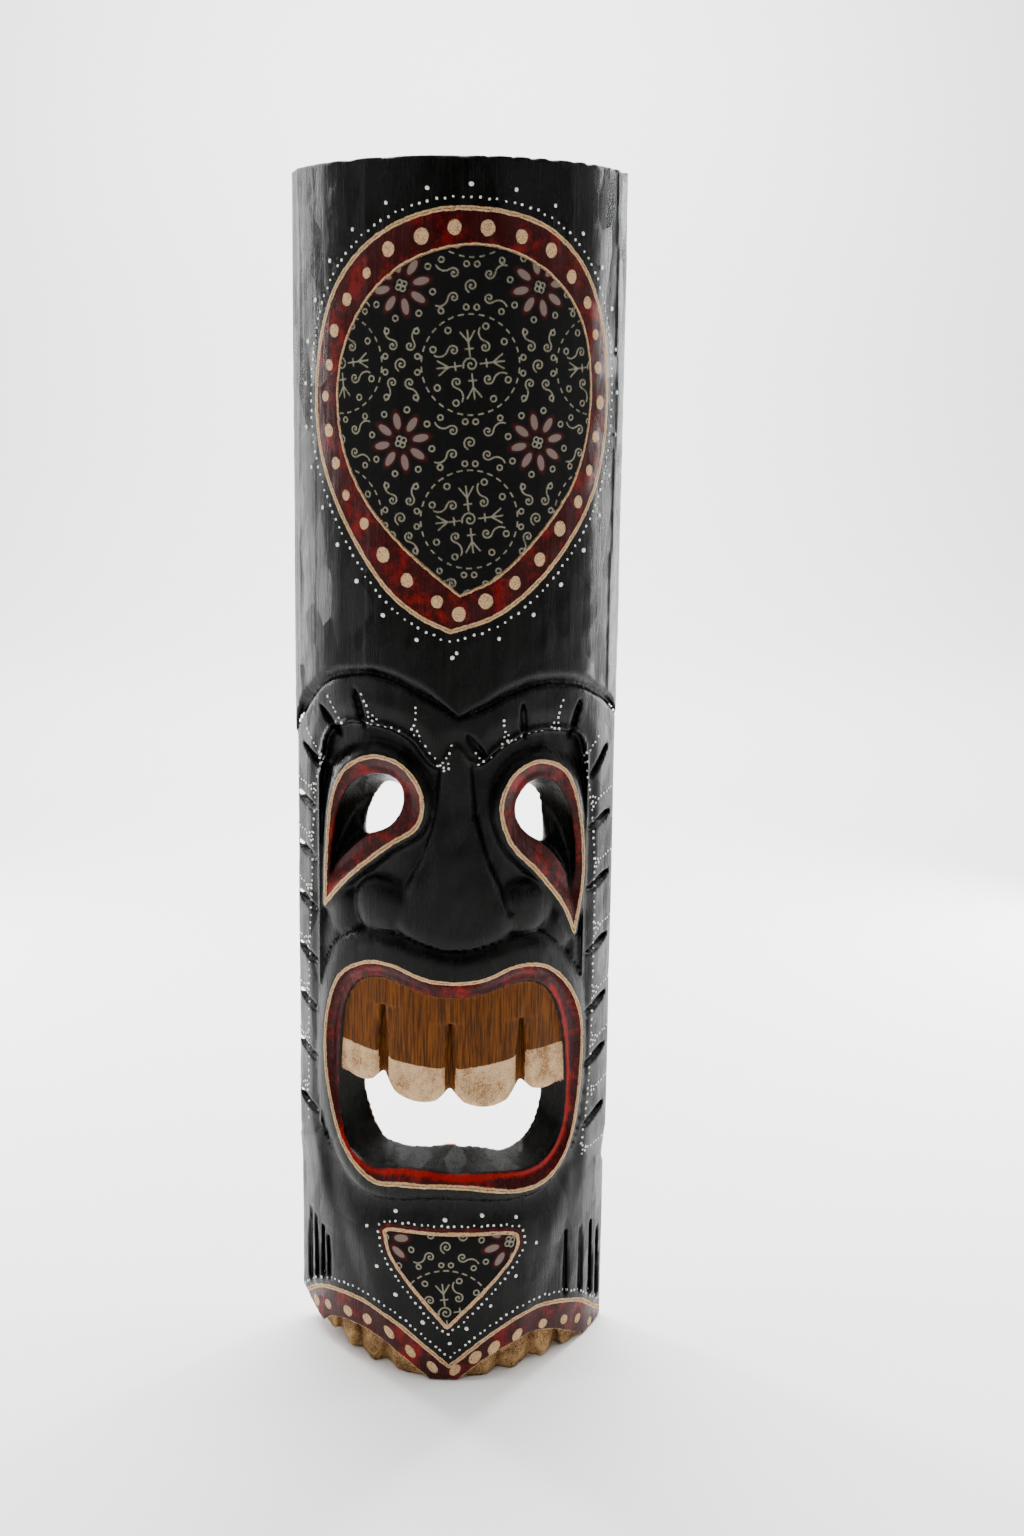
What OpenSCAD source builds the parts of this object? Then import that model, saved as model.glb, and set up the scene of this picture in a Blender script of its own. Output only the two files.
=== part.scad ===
// Carved tiki wall mask: half a log, hollowed from behind, with two printed
// cloth panels glued into shallow seats and a steel ring hanger on the back.
// The log stands on its flat end. -Y is the face, +Y the flat sawn back.

/* [Log] */
// Height of the log, from the flat foot to the sawn top
log_h = 1000; // [600:10:1300]
// Radius of the log's round face
log_r = 148; // [120:1:200]
// Depth of the half log, from the crest of the face to the flat back
log_depth = 92; // [75:1:115]

/* [Hollow back] */
// Thickness of the carved wall, measured straight in from the face
wall_t = 34; // [26:1:44]
// Solid wood left above the hollow
top_block = 72; // [64:1:110]
// Solid wood left below the hollow
foot_block = 60; // [35:1:110]
// Radius of the hollow's four corners, seen from behind
hollow_corner_r = 40; // [10:1:60]

/* [Relief] */
// Depth of the sunken field round each eye
field_depth = 9; // [4:1:14]
// Depth of the step that runs round the lips
lip_step = 5; // [2:1:8]
// How far the teeth stand back from the log's face
tooth_setback = 12; // [6:1:18]
// Depth of the V between two teeth
tooth_groove_depth = 7; // [3:1:10]
// How far the toes stand back from the painted band above them
toe_setback = 4; // [2:1:8]
// Depth of the notch between two toes
toe_notch_depth = 11; // [6:1:16]
// Radius of the gouge that cuts the short notches and grooves
gouge_r = 3; // [2:0.5:4]
// How far the gouge is held off the face, so that it cuts a shallow channel
gouge_lift = 0.8; // [0:0.1:1]

/* [Cloth panels] */
// Thickness of the printed cloth with its glue
cloth_t = 0.8; // [0.4:0.1:2]
// Gap left all round between a cloth and the edge of its seat
cloth_gap = 0.6; // [0.3:0.1:1.5]

/* [Ring hanger] */
// Height of the ring's pivot below the log's top
pivot_drop = 27; // [22:1:34]
// Thickness of the ring's wire
wire_d = 2.5; // [2:0.1:3]
// Radius of the ring, at the middle of its wire
ring_r = 13; // [11:0.5:14]
// Width of the steel strap
strap_w = 11; // [9:0.5:12]
// Distance between the strap's two screws
screw_pitch = 10.5; // [9:0.5:13]
// Thickness of the strap
strap_t = 1; // [0.8:0.1:1.4]
// Gap between the wire and the curl that holds it, on each side
wire_gap = 0.06; // [0.03:0.01:0.1]
// Gap between the hanging ring and the strap behind it
ring_lift = 0.65; // [0.5:0.05:1]
// Depth of the seat that lets the hanger in flush
seat_depth = 7; // [6:0.5:9]
// Room round the hanger inside its seat
seat_gap = 3; // [2:0.5:6]
// Thickness of a screw's shank
screw_d = 3.5; // [3:0.1:4]
// Length of a screw under its head
screw_len = 20; // [12:1:30]
// Width of a screw's head
screw_head_d = 6.4; // [6:0.1:7.5]
// Height of a screw's head
screw_head_t = 1.8; // [1.2:0.1:2.4]
// Gap between a screw's shank and its hole in the strap
screw_gap = 0.25; // [0.1:0.05:0.5]

/* [Hidden] */
$fn = 96;

crest_y = -log_depth / 2;
back_y = log_depth / 2;
axis_y = crest_y + log_r;
half_w = sqrt(log_r * log_r - pow(log_r - log_depth, 2));
hollow_r = log_r - wall_t;
hollow_half_w = sqrt(hollow_r * hollow_r - pow(log_r - log_depth, 2));
tooth_r = log_r - tooth_setback;
cloth_r = log_r - cloth_t;
over = 4;                // how far every cut runs past the wood
clear_r = 1.12 * log_r;  // far enough out for the flat end of a hole to miss the face
big = 2 * log_r;

// The face is drawn on a log 274 wide and 1000 tall, and stretched from there.
drawn_half_w = 137;
drawn_h = 1000;
kx = half_w / drawn_half_w;
kz = log_h / drawn_h;
function fit(p) = [for (q = p) [q[0] * kx, q[1] * kz]];

// A closed curve that passes through every point of p, n steps a stretch
function bend(a, b, c, d, t) =
    (2 * b + (c - a) * t + (2 * a - 5 * b + 4 * c - d) * t * t
     + (3 * b - a - 3 * c + d) * t * t * t) / 2;
function smooth(p, n = 3) =
    let (m = len(p))
    [for (i = [0:m - 1], j = [0:n - 1])
        bend(p[(i + m - 1) % m], p[i], p[(i + 1) % m], p[(i + 2) % m], j / n)];
function middle(p) = [for (k = [0, 1]) (max([for (q = p) q[k]]) + min([for (q = p) q[k]])) / 2];
// An outline pulled in towards its middle by the distance d
function pull_in(p, d) =
    let (c = middle(p))
    [for (q = p) let (v = q - c) c + v * (1 - d / norm(v))];

// Outlines in the front view, [x, z], each listed clockwise as the face shows it
forehead_panel = fit([[10, 932], [-52, 912], [-85, 867], [-93, 811], [-80, 754], [-45, 708],
                      [-3, 671], [5, 670], [43, 693], [87, 746], [102, 810], [96, 877], [63, 916]]);
chin_panel = fit([[-49, 125], [-5, 128], [40, 125], [49, 118], [44, 106], [19, 77],
                  [-1, 56], [-7, 56], [-30, 84], [-47, 106], [-52, 118]]);
left_eye_front = fit([[-106, 412], [-104, 445], [-99, 473], [-93, 495], [-74, 518], [-50, 517],
                      [-42, 503], [-43, 489], [-59, 475], [-85, 454]]);
left_eye_back = fit([[-73, 452], [-74, 465], [-71, 478], [-67, 493], [-57, 503], [-42, 503],
                     [-35, 490], [-35, 475], [-47, 458], [-62, 450]]);
right_eye_front = fit([[99, 400], [90, 430], [74, 456], [52, 479], [48, 495], [59, 514],
                       [81, 511], [94, 485], [99, 460], [100, 434]]);
right_eye_back = fit([[71, 446], [61, 446], [49, 455], [38, 475], [38, 490], [48, 503],
                      [60, 503], [67, 490], [71, 476], [73, 460]]);
mouth_front = fit([[-92, 316], [-79, 340], [-50, 348], [-2, 334], [57, 346], [87, 316], [95, 266],
                   [92, 209], [65, 178], [3, 190], [-66, 181], [-96, 212], [-98, 265]]);
mouth_back = fit([[-74, 310], [-66, 330], [-42, 336], [-2, 326], [42, 336], [69, 310], [74, 262],
                  [71, 218], [50, 188], [3, 196], [-52, 192], [-72, 220], [-76, 262]]);
lips = fit([[-106, 361], [-93, 379], [-53, 390], [1, 377], [57, 388], [90, 367], [108, 338],
            [113, 257], [100, 182], [65, 154], [-8, 160], [-70, 152], [-107, 182], [-117, 254]]);
left_eye_rim = fit([[-110, 394], [-111, 440], [-108, 486], [-96, 522], [-68, 540], [-40, 535],
                    [-23, 508], [-27, 478], [-52, 457], [-80, 430]]);
right_eye_rim = fit([[100, 372], [110, 420], [109, 465], [96, 514], [68, 537], [45, 526],
                     [32, 496], [40, 464], [64, 438], [84, 405]]);
left_field = fit([[-112, 400], [-115, 470], [-108, 545], [-90, 557], [-57, 559], [-33, 549],
                  [-17, 528], [-16, 490], [-26, 455], [-48, 440], [-78, 428], [-90, 392]]);
right_field = fit([[108, 380], [115, 450], [112, 530], [95, 552], [62, 556], [35, 546],
                   [19, 528], [18, 490], [28, 452], [46, 438], [68, 425], [80, 392]]);
teeth = fit([[-110, 370], [-110, 258], [-88, 251], [-73, 251], [-60, 257], [-52, 249],
             [-35, 245], [-18, 245], [-3, 253], [6, 247], [25, 242], [42, 242], [57, 254],
             [72, 247], [84, 247], [110, 252], [110, 370]]);
left_toes = fit([[-125, -5], [-117, 12], [-103, 25], [-80, 31], [-52, 24], [-33, 14], [-18, -5]]);
right_toes = fit([[125, -5], [112, 8], [97, 18], [81, 27], [60, 30], [33, 21], [10, -5]]);

// [x, height of the V's point] of the grooves between the teeth
tooth_grooves = fit([[-58, 325], [-2, 313], [58, 314]]);
// [x, height of the notch's point] of the notches between the toes
toe_notches = fit([[-96, 20], [-78, 22], [-55, 20], [39, 18], [66, 22], [90, 18]]);
// Gouged notches: [x, z] at one end and at the other
brow_notches = [fit([[-112, 568], [-94, 545]]), fit([[-82, 587], [-73, 556]]),
                fit([[-127, 529], [-109, 513]]), fit([[8, 556], [24, 537]]),
                fit([[53, 579], [55, 550]]), fit([[100, 576], [92, 546]]),
                fit([[127, 531], [112, 508]])];
band_notches = concat(
    [for (z = [481, 437, 393, 347, 304, 259, 211]) fit([[-131, z + 4], [-118, z - 4]])],
    [for (z = [468, 415, 359, 306, 259, 204]) fit([[131, z + 5], [118, z - 5]])]);
foot_grooves = concat(
    [for (x = [-125, -118, -112, -107]) fit([[x, 110], [x, 48]])],
    [for (x = [97, 111, 121, 128]) fit([[x, 108], [x, 40]])]);

// Where a point [x, z] of the front view lies, at the radius r in the log
function at_radius(p, r) = [r * p[0] / log_r, axis_y - r * sqrt(1 - pow(p[0] / log_r, 2)), p[1]];

// The solid that an outline sweeps straight through the log
module prism(outline) {
    translate([0, back_y + over, 0]) rotate([90, 0, 0])
        linear_extrude(log_depth + 2 * over) polygon(outline);
}

module core(r, z0 = -over, h = log_h + 2 * over) {
    translate([0, axis_y, z0]) cylinder(r = r, h = h, $fn = 180);
}

// All that lies inside an outline and further out than the radius r
module skin(outline, r) {
    difference() {
        prism(outline);
        core(r);
    }
}

// A hole whose outline narrows from the face to the hollow
module tapered_hole(front, back) {
    n = len(front);
    outer = [for (p = front) at_radius(p, clear_r)];
    inner = [for (p = back) at_radius([p[0] * log_r / hollow_r, p[1]], hollow_r - over)];
    outer_mid = at_radius(middle(front), clear_r);
    inner_mid = at_radius(middle(back) * log_r / hollow_r, hollow_r - over);
    middles = [outer_mid, [inner_mid[0], inner_mid[1], middle(back)[1]]];
    polyhedron(
        points = concat(outer, inner, middles),
        faces = concat(
            [for (i = [0:n - 1]) [i, n + i, (i + 1) % n]],
            [for (i = [0:n - 1]) [(i + 1) % n, n + i, n + (i + 1) % n]],
            [for (i = [0:n - 1]) [2 * n, i, (i + 1) % n]],
            [for (i = [0:n - 1]) [2 * n + 1, n + (i + 1) % n, n + i]]));
}

// A straight round-bottomed cut from one point of the face to another
module gouge(ends, r) {
    a = at_radius(ends[0], log_r + gouge_lift);
    b = at_radius(ends[1], log_r + gouge_lift);
    v = b - a;
    translate(a) rotate([0, acos(v[2] / norm(v)), atan2(v[1], v[0])])
        cylinder(r = r, h = norm(v), $fn = 24);
}

// A V with its point at the top, cut to the radius r
module v_cut(tip, foot_z, foot_w, r) {
    skin([tip, [tip[0] - foot_w / 2, foot_z], [tip[0] + foot_w / 2, foot_z]], r);
}

module half_log() {
    intersection() {
        core(log_r, 0, log_h);
        translate([-big / 2, crest_y - over, 0]) cube([big, log_depth + over, log_h]);
    }
}

module hollow() {
    w = 2 * (hollow_half_w - hollow_corner_r);
    h = log_h - top_block - foot_block - 2 * hollow_corner_r;
    intersection() {
        core(hollow_r);
        union() {
            translate([-w / 2, crest_y, foot_block])
                cube([w, log_depth + over, h + 2 * hollow_corner_r]);
            translate([-hollow_half_w, crest_y, foot_block + hollow_corner_r])
                cube([2 * hollow_half_w, log_depth + over, h]);
            for (x = [-w / 2, w / 2], z = [0, h])
                translate([x, crest_y, foot_block + hollow_corner_r + z])
                    rotate([-90, 0, 0]) cylinder(r = hollow_corner_r, h = log_depth + over);
        }
    }
}

pivot_z = log_h - pivot_drop;
floor_y = back_y - seat_depth;
pivot_lift = strap_t + ring_lift + wire_d / 2;
pivot_y = floor_y + pivot_lift;
ring_out_r = ring_r + wire_d / 2;
first_screw = ring_out_r + 2.55 + screw_head_d / 2;
screw_drops = [first_screw, first_screw + screw_pitch];
strap_len = first_screw + screw_pitch + 2.3 + screw_head_d / 2;

// The chiselled seat that the hanger lies in
module hanger_seat() {
    w = 2 * (ring_out_r + seat_gap);
    up = ring_out_r + seat_gap;
    down = strap_len + seat_gap;
    translate([-w / 2, floor_y, pivot_z - down]) cube([w, seat_depth + over, up + down]);
}

module face_relief() {
    difference() {
        union() {
            skin(smooth(left_field), log_r - field_depth);
            skin(smooth(right_field), log_r - field_depth);
        }
        prism(smooth(left_eye_rim));
        prism(smooth(right_eye_rim));
    }
    difference() {
        lip_mid = middle(lips);
        skin([for (p = smooth(lips)) lip_mid + [(p - lip_mid)[0] * 1.07, (p - lip_mid)[1] * 1.08]],
             log_r - lip_step);
        prism(smooth(lips));
    }
    for (e = brow_notches) gouge(e, gouge_r);
    for (e = band_notches) gouge(e, gouge_r);
    for (e = foot_grooves) gouge(e, gouge_r - 1);
}

module teeth_row() {
    difference() {
        intersection() {
            half_log();
            prism(teeth);
            core(tooth_r);
            prism(smooth([for (p = mouth_front) middle(mouth_front) + (p - middle(mouth_front)) * 1.1]));
        }
        core(hollow_r);
        for (g = tooth_grooves) v_cut(g, 236 * kz, 13 * kx, tooth_r - tooth_groove_depth);
    }
}

module mask_body() color("#1d201e") {
    difference() {
        union() {
            difference() {
                half_log();
                face_relief();
                tapered_hole(smooth(mouth_front), smooth(mouth_back));
            }
            teeth_row();
        }
        hollow();
        tapered_hole(smooth(left_eye_front), smooth(left_eye_back));
        tapered_hole(smooth(right_eye_front), smooth(right_eye_back));
        skin(smooth(forehead_panel), cloth_r);
        skin(smooth(chin_panel), cloth_r);
        skin(left_toes, log_r - toe_setback);
        skin(right_toes, log_r - toe_setback);
        for (t = toe_notches) v_cut(t, -over, 14 * kx, log_r - toe_notch_depth);
        hanger_seat();
        for (d = screw_drops)
            translate([0, floor_y + strap_t, pivot_z - d]) rotate([90, 0, 0])
                cylinder(d = screw_d, h = screw_len);
    }
}

// One piece of cloth on the log, inside its outline by the cloth's gap
module cloth(outline) {
    intersection() {
        skin(smooth(pull_in(outline, cloth_gap)), cloth_r);
        core(log_r);
    }
}

module forehead_cloth() color("#20201f") cloth(forehead_panel);

module chin_cloth() color("#20201f") cloth(chin_panel);

module hanger_strap() color("#b9bcbf") {
    curl_in_r = wire_d / 2 + wire_gap;
    difference() {
        union() {
            translate([-strap_w / 2, floor_y, pivot_z - strap_len])
                cube([strap_w, strap_t, strap_len - curl_in_r]);
            translate([-strap_w / 2, floor_y, pivot_z - curl_in_r - strap_t])
                cube([strap_w, pivot_lift, strap_t]);
            translate([-strap_w / 2, pivot_y, pivot_z]) rotate([0, 90, 0])
                cylinder(r = curl_in_r + strap_t, h = strap_w);
        }
        translate([-strap_w, pivot_y, pivot_z]) rotate([0, 90, 0])
            cylinder(r = curl_in_r, h = 2 * strap_w);
        for (d = screw_drops)
            translate([0, floor_y - over, pivot_z - d]) rotate([-90, 0, 0])
                cylinder(d = screw_d + 2 * screw_gap, h = 2 * over);
    }
}

// The ring hangs straight down at rest
module hanger_ring() color("#c9ccce") {
    translate([0, pivot_y, pivot_z]) {
        translate([-ring_r, 0, 0]) rotate([0, 90, 0]) cylinder(d = wire_d, h = 2 * ring_r);
        rotate([90, 0, 0]) rotate([0, 0, 180]) rotate_extrude(angle = 180)
            translate([ring_r, 0]) circle(d = wire_d);
        for (x = [-ring_r, ring_r]) translate([x, 0, 0]) sphere(d = wire_d);
    }
}

module hanger_screws() color("#a9adb0") {
    for (d = screw_drops) translate([0, floor_y + strap_t, pivot_z - d]) {
        rotate([90, 0, 0]) cylinder(d = screw_d, h = screw_len);
        rotate([-90, 0, 0]) cylinder(d1 = screw_head_d, d2 = screw_head_d * 0.7, h = screw_head_t);
    }
}

mask_body();
forehead_cloth();
chin_cloth();
hanger_strap();
hanger_ring();
hanger_screws();
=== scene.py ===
"""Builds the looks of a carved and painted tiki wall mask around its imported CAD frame.

All lengths inside the classes are in millimetres. They become metres where a mesh is made.
"""

import logging
import math
from dataclasses import dataclass, field
from enum import Enum

import bpy
import numpy as np
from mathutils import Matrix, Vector


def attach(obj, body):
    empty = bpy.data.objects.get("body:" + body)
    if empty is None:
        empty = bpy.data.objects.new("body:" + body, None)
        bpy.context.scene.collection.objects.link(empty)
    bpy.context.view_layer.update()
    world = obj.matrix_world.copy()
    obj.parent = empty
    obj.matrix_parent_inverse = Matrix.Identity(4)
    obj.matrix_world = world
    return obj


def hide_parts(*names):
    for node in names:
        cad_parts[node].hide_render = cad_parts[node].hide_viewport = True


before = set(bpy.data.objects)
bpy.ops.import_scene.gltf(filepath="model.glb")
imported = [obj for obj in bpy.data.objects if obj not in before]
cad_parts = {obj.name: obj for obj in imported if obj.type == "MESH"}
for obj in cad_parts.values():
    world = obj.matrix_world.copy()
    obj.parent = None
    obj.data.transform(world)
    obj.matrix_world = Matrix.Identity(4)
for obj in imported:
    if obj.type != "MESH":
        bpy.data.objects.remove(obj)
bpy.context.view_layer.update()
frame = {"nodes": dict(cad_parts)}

LOG = logging.getLogger("tiki_mask")
MM = 0.001
Array = np.ndarray
Points = tuple[tuple[float, float], ...]


class Stroke(Enum):
    """The two strokes that the print is drawn with."""

    SPIRAL = "a spiral"
    CURL = "a curl with a tail"


# ---------------------------------------------------------------- small tools


def to_linear(code: str) -> tuple[float, float, float, float]:
    """Turns an sRGB hex colour into linear red, green, blue and alpha.

    Args:
        code: Six hex digits after a hash.

    Returns:
        The four numbers that a colour socket takes.
    """
    parts = [int(code[i : i + 2], 16) / 255 for i in (1, 3, 5)]
    bent = [c / 12.92 if c <= 0.04045 else ((c + 0.055) / 1.055) ** 2.4 for c in parts]
    return bent[0], bent[1], bent[2], 1.0


def add_node(tree, kind: str, inputs: dict | None = None, out: int | str = 0, **settings):
    """Adds one shader node with its settings and links.

    Args:
        tree: The node tree that it joins.
        kind: The node's type name, without the part that every shader node's name begins with.
        inputs: For each socket, by name or number, the value that it has or the socket that feeds it.
        out: Which output is wanted, by name or number.
        settings: The node's own properties. For a colour ramp, stops gives each place and hex colour.

    Returns:
        The wanted output, or nothing for a node that has no outputs.
    """
    node = tree.nodes.new("ShaderNode" + kind)
    for i, (place, colour) in enumerate(settings.pop("stops", ())):
        node.color_ramp.elements[i].position = place
        node.color_ramp.elements[i].color = to_linear(colour)
    for name, value in settings.items():
        setattr(node, name, value)
    for key, value in (inputs or {}).items():
        if isinstance(value, bpy.types.NodeSocket):
            tree.links.new(value, node.inputs[key])
        else:
            node.inputs[key].default_value = value
    return node.outputs[out] if len(node.outputs) else None


def edge_of(tree, value, low: float, high: float, before: float = 1.0, after: float = 0.0,
            shake=None, share: float = 0.0):
    """Turns a distance into a mask whose edge wavers as a hand does.

    Args:
        tree: The node tree.
        value: The distance, or any other pattern, that is spread between two levels.
        low: Where the edge starts.
        high: Where it ends.
        before: What the mask holds below the edge.
        after: What it holds above it.
        shake: The pattern that moves the edge, in millimetres.
        share: How much of the shake it takes.

    Returns:
        The mask.
    """
    if share:
        value = add_node(tree, "Math", {0: shake, 1: share, 2: value}, operation="MULTIPLY_ADD")
    reach = {"Value": value, "From Min": low, "From Max": high, "To Min": before, "To Max": after}
    return add_node(tree, "MapRange", reach)


def new_material(name: str) -> tuple:
    """Makes an empty material, and gives it back with its node tree."""
    made = bpy.data.materials.new(name)
    made.use_nodes = True
    made.node_tree.nodes.clear()
    return made, made.node_tree


def curve_through(points: Points, steps: int = 5, closed: bool = True) -> Array:
    """Draws a smooth curve through points. A point given twice in a row makes a corner.

    Args:
        points: The points that the curve passes through.
        steps: How many stretches it has between two of them.
        closed: Whether the curve returns to its first point.

    Returns:
        The curve's own points, one row each.
    """
    p = np.array(points, float)
    n = len(p)
    if not closed:
        p = np.vstack([2 * p[0] - p[1], p, 2 * p[-1] - p[-2]])
    found = []
    for i in range(n if closed else n - 1):
        if closed:
            a, b, c, d = (p[(i + k - 1) % n] for k in range(4))
        else:
            a, b, c, d = p[i], p[i + 1], p[i + 2], p[i + 3]
        if np.allclose(b, c):
            continue
        if np.allclose(a, b):
            a = 2 * b - c
        if np.allclose(c, d):
            d = 2 * c - b
        for t in np.arange(steps) / steps:
            bend, twist = 2 * a - 5 * b + 4 * c - d, 3 * b - a - 3 * c + d
            found.append((2 * b + (c - a) * t + bend * t**2 + twist * t**3) / 2)
    if not closed:
        found.append(p[-2])
    return np.array(found)


def outline_distance(outline: Array, s: Array, z: Array) -> Array:
    """Measures the distance to a closed outline, negative inside it.

    Args:
        outline: The outline's points, one row each.
        s: Where the measured points are across.
        z: Where they are up.

    Returns:
        One distance for each measured point.
    """
    best = np.full(np.shape(s), 1e9)
    inside = np.zeros(np.shape(s), bool)
    for a, b in zip(outline, np.roll(outline, -1, axis=0)):
        e = b - a
        length = max(float(e @ e), 1e-12)
        t = np.clip(((s - a[0]) * e[0] + (z - a[1]) * e[1]) / length, 0, 1)
        best = np.minimum(best, (s - a[0] - t * e[0]) ** 2 + (z - a[1] - t * e[1]) ** 2)
        if a[1] != b[1]:
            crosses = (a[1] > z) != (b[1] > z)
            inside ^= crosses & (s < e[0] * (z - a[1]) / e[1] + a[0])
    return np.where(inside, -1.0, 1.0) * np.sqrt(best)


def near_curve(points: Points, s: Array, z: Array, steps: int = 4, reach: float = 45.0) -> Array:
    """The distance to a smooth closed outline, worked out only near it, and its reach elsewhere."""
    outline = curve_through(points, steps)
    low, high = outline.min(0) - reach, outline.max(0) + reach
    close = (s > low[0]) & (s < high[0]) & (z > low[1]) & (z < high[1])
    found = np.full(np.shape(s), float(reach))
    found[close] = outline_distance(outline, s[close], z[close])
    return found


def stroke_distance(a: tuple, b: tuple, s: Array, z: Array) -> tuple[Array, Array]:
    """Distance to a straight stroke, and how far along it the nearest point is, from 0 to 1."""
    ds, dz = b[0] - a[0], b[1] - a[1]
    t = np.clip(((s - a[0]) * ds + (z - a[1]) * dz) / (ds * ds + dz * dz), 0, 1)
    return np.hypot(s - a[0] - t * ds, z - a[1] - t * dz), t


def ease(low: float, high: float, x: Array) -> Array:
    """Rises smoothly from 0 at low to 1 at high."""
    t = np.clip((x - low) / (high - low), 0, 1)
    return t * t * (3 - 2 * t)


def soft_least(a: Array, b: Array, width: float) -> Array:
    """The smaller of two values, rounded where they meet over a width."""
    h = np.clip(0.5 + 0.5 * (b - a) / width, 0, 1)
    return b + (a - b) * h - width * h * (1 - h)


def soft_most(a: Array, b: Array, width: float) -> Array:
    """The larger of two values, rounded where they meet over a width."""
    return -soft_least(-a, -b, width)


def waves(s: Array, z: Array, size: float, seed: int) -> Array:
    """Gentle unevenness of about -1 to 1, as hand work leaves.

    Args:
        s: Where the points are across.
        z: Where they are up.
        size: The usual distance from one swell to the next.
        seed: Picks the pattern.

    Returns:
        One height for each point.
    """
    rng = np.random.default_rng(seed)
    total = np.zeros(np.shape(s))
    for _ in range(6):
        angle, phase = rng.uniform(0, math.tau, 2)
        k = math.tau / (size * rng.uniform(0.7, 1.6))
        total += np.sin(k * (math.cos(angle) * s + math.sin(angle) * z) + phase)
    return total / 3.2


def mesh_object(name: str, points: Array, faces: list | Array, smooth: bool = True):
    """Makes a mesh object from points in millimetres.

    Args:
        name: The piece's name.
        points: One row for each corner.
        faces: The corners of each face.
        smooth: Whether it is shaded smooth.

    Returns:
        The new object, linked to the scene.
    """
    data = bpy.data.meshes.new(name)
    if isinstance(faces, np.ndarray) and len(faces):
        count, sides = faces.shape
        data.vertices.add(len(points))
        data.vertices.foreach_set("co", (np.asarray(points) * MM).astype(np.float32).ravel())
        data.loops.add(count * sides)
        data.loops.foreach_set("vertex_index", faces.astype(np.int32).ravel())
        data.polygons.add(count)
        data.polygons.foreach_set("loop_start", np.arange(0, count * sides, sides, dtype=np.int32))
        data.update(calc_edges=True)
        data.validate()
    else:
        data.from_pydata((np.asarray(points) * MM).tolist(), [], faces)
    data.polygons.foreach_set("use_smooth", [smooth] * len(data.polygons))
    data.update()
    made = bpy.data.objects.new(name, data)
    bpy.context.scene.collection.objects.link(made)
    return made


def give_values(made, name: str, values: Array) -> None:
    """Stores one number for each corner of a mesh under a name that its material reads."""
    layer = made.data.attributes.new(name, "FLOAT", "POINT")
    layer.data.foreach_set("value", np.asarray(values, np.float32))


def wrap_field(values: Array, low: Array, pitch: float) -> tuple[Array, Array]:
    """Wraps a mesh of quads round the part of a block where a value is below zero.

    Args:
        values: The value at each point of an even grid, indexed across, back and up.
        low: The place of the grid's first point.
        pitch: The distance from one grid point to the next.

    Returns:
        The mesh's points and its quads.
    """
    solid = values < 0
    corners = [(i, j, k) for i in (0, 1) for j in (0, 1) for k in (0, 1)]
    cell = tuple(n - 1 for n in values.shape)
    count = np.zeros(cell, np.int8)
    for i, j, k in corners:
        count += solid[i : i + cell[0], j : j + cell[1], k : k + cell[2]]
    mixed = (count > 0) & (count < 8)
    at = np.argwhere(mixed)
    number = np.full(cell, -1, np.int32)
    number[mixed] = np.arange(len(at))
    total = np.zeros((len(at), 3))
    hits = np.zeros(len(at))
    for a in corners:
        for axis in range(3):
            if a[axis]:
                continue
            b = tuple(a[q] + (q == axis) for q in range(3))
            fa = values[at[:, 0] + a[0], at[:, 1] + a[1], at[:, 2] + a[2]].astype(float)
            fb = values[at[:, 0] + b[0], at[:, 1] + b[1], at[:, 2] + b[2]].astype(float)
            cut = (fa < 0) != (fb < 0)
            t = np.where(cut, fa / np.where(cut, fa - fb, 1), 0)
            place = np.tile(np.array(a, float), (len(at), 1))
            place[:, axis] += t
            total += place * cut[:, None]
            hits += cut
    points = low + pitch * (at + total / hits[:, None])
    quads = []
    for axis in range(3):
        u, v = [q for q in range(3) if q != axis]
        here = [slice(1, -1)] * 3
        here[axis] = slice(0, -1)
        there = [slice(1, -1)] * 3
        there[axis] = slice(1, None)
        near, far = solid[tuple(here)], solid[tuple(there)]
        for flips in (False, True):
            edge = np.argwhere(near & ~far if flips else ~near & far)
            base = edge + [1 if q != axis else 0 for q in range(3)]
            ring = []
            for du, dv in ((0, 0), (-1, 0), (-1, -1), (0, -1)):
                c = base.copy()
                c[:, u] += du
                c[:, v] += dv
                ring.append(number[c[:, 0], c[:, 1], c[:, 2]])
            turned = flips != (axis == 1)
            quads.append(np.stack(ring if not turned else ring[::-1], axis=1))
    return points, np.vstack(quads)


def calm(points: Array, quads: Array, rounds: int, free: Array) -> Array:
    """Evens out a mesh's steps without shrinking it.

    Args:
        points: The mesh's points.
        quads: Its faces.
        rounds: How many times it is evened out.
        free: Which points may move.

    Returns:
        The moved points.
    """
    a = quads.ravel()
    b = np.roll(quads, -1, axis=1).ravel()
    count = np.bincount(a, minlength=len(points)) + np.bincount(b, minlength=len(points))
    moved = points.copy()
    for share in (0.5, -0.53) * rounds:
        total = np.empty_like(moved)
        for k in range(3):
            total[:, k] = np.bincount(a, moved[b, k], len(moved)) + np.bincount(b, moved[a, k], len(moved))
        moved += share * (total / count[:, None] - moved) * free[:, None]
    return moved


# ---------------------------------------------------------------- finishes


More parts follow.
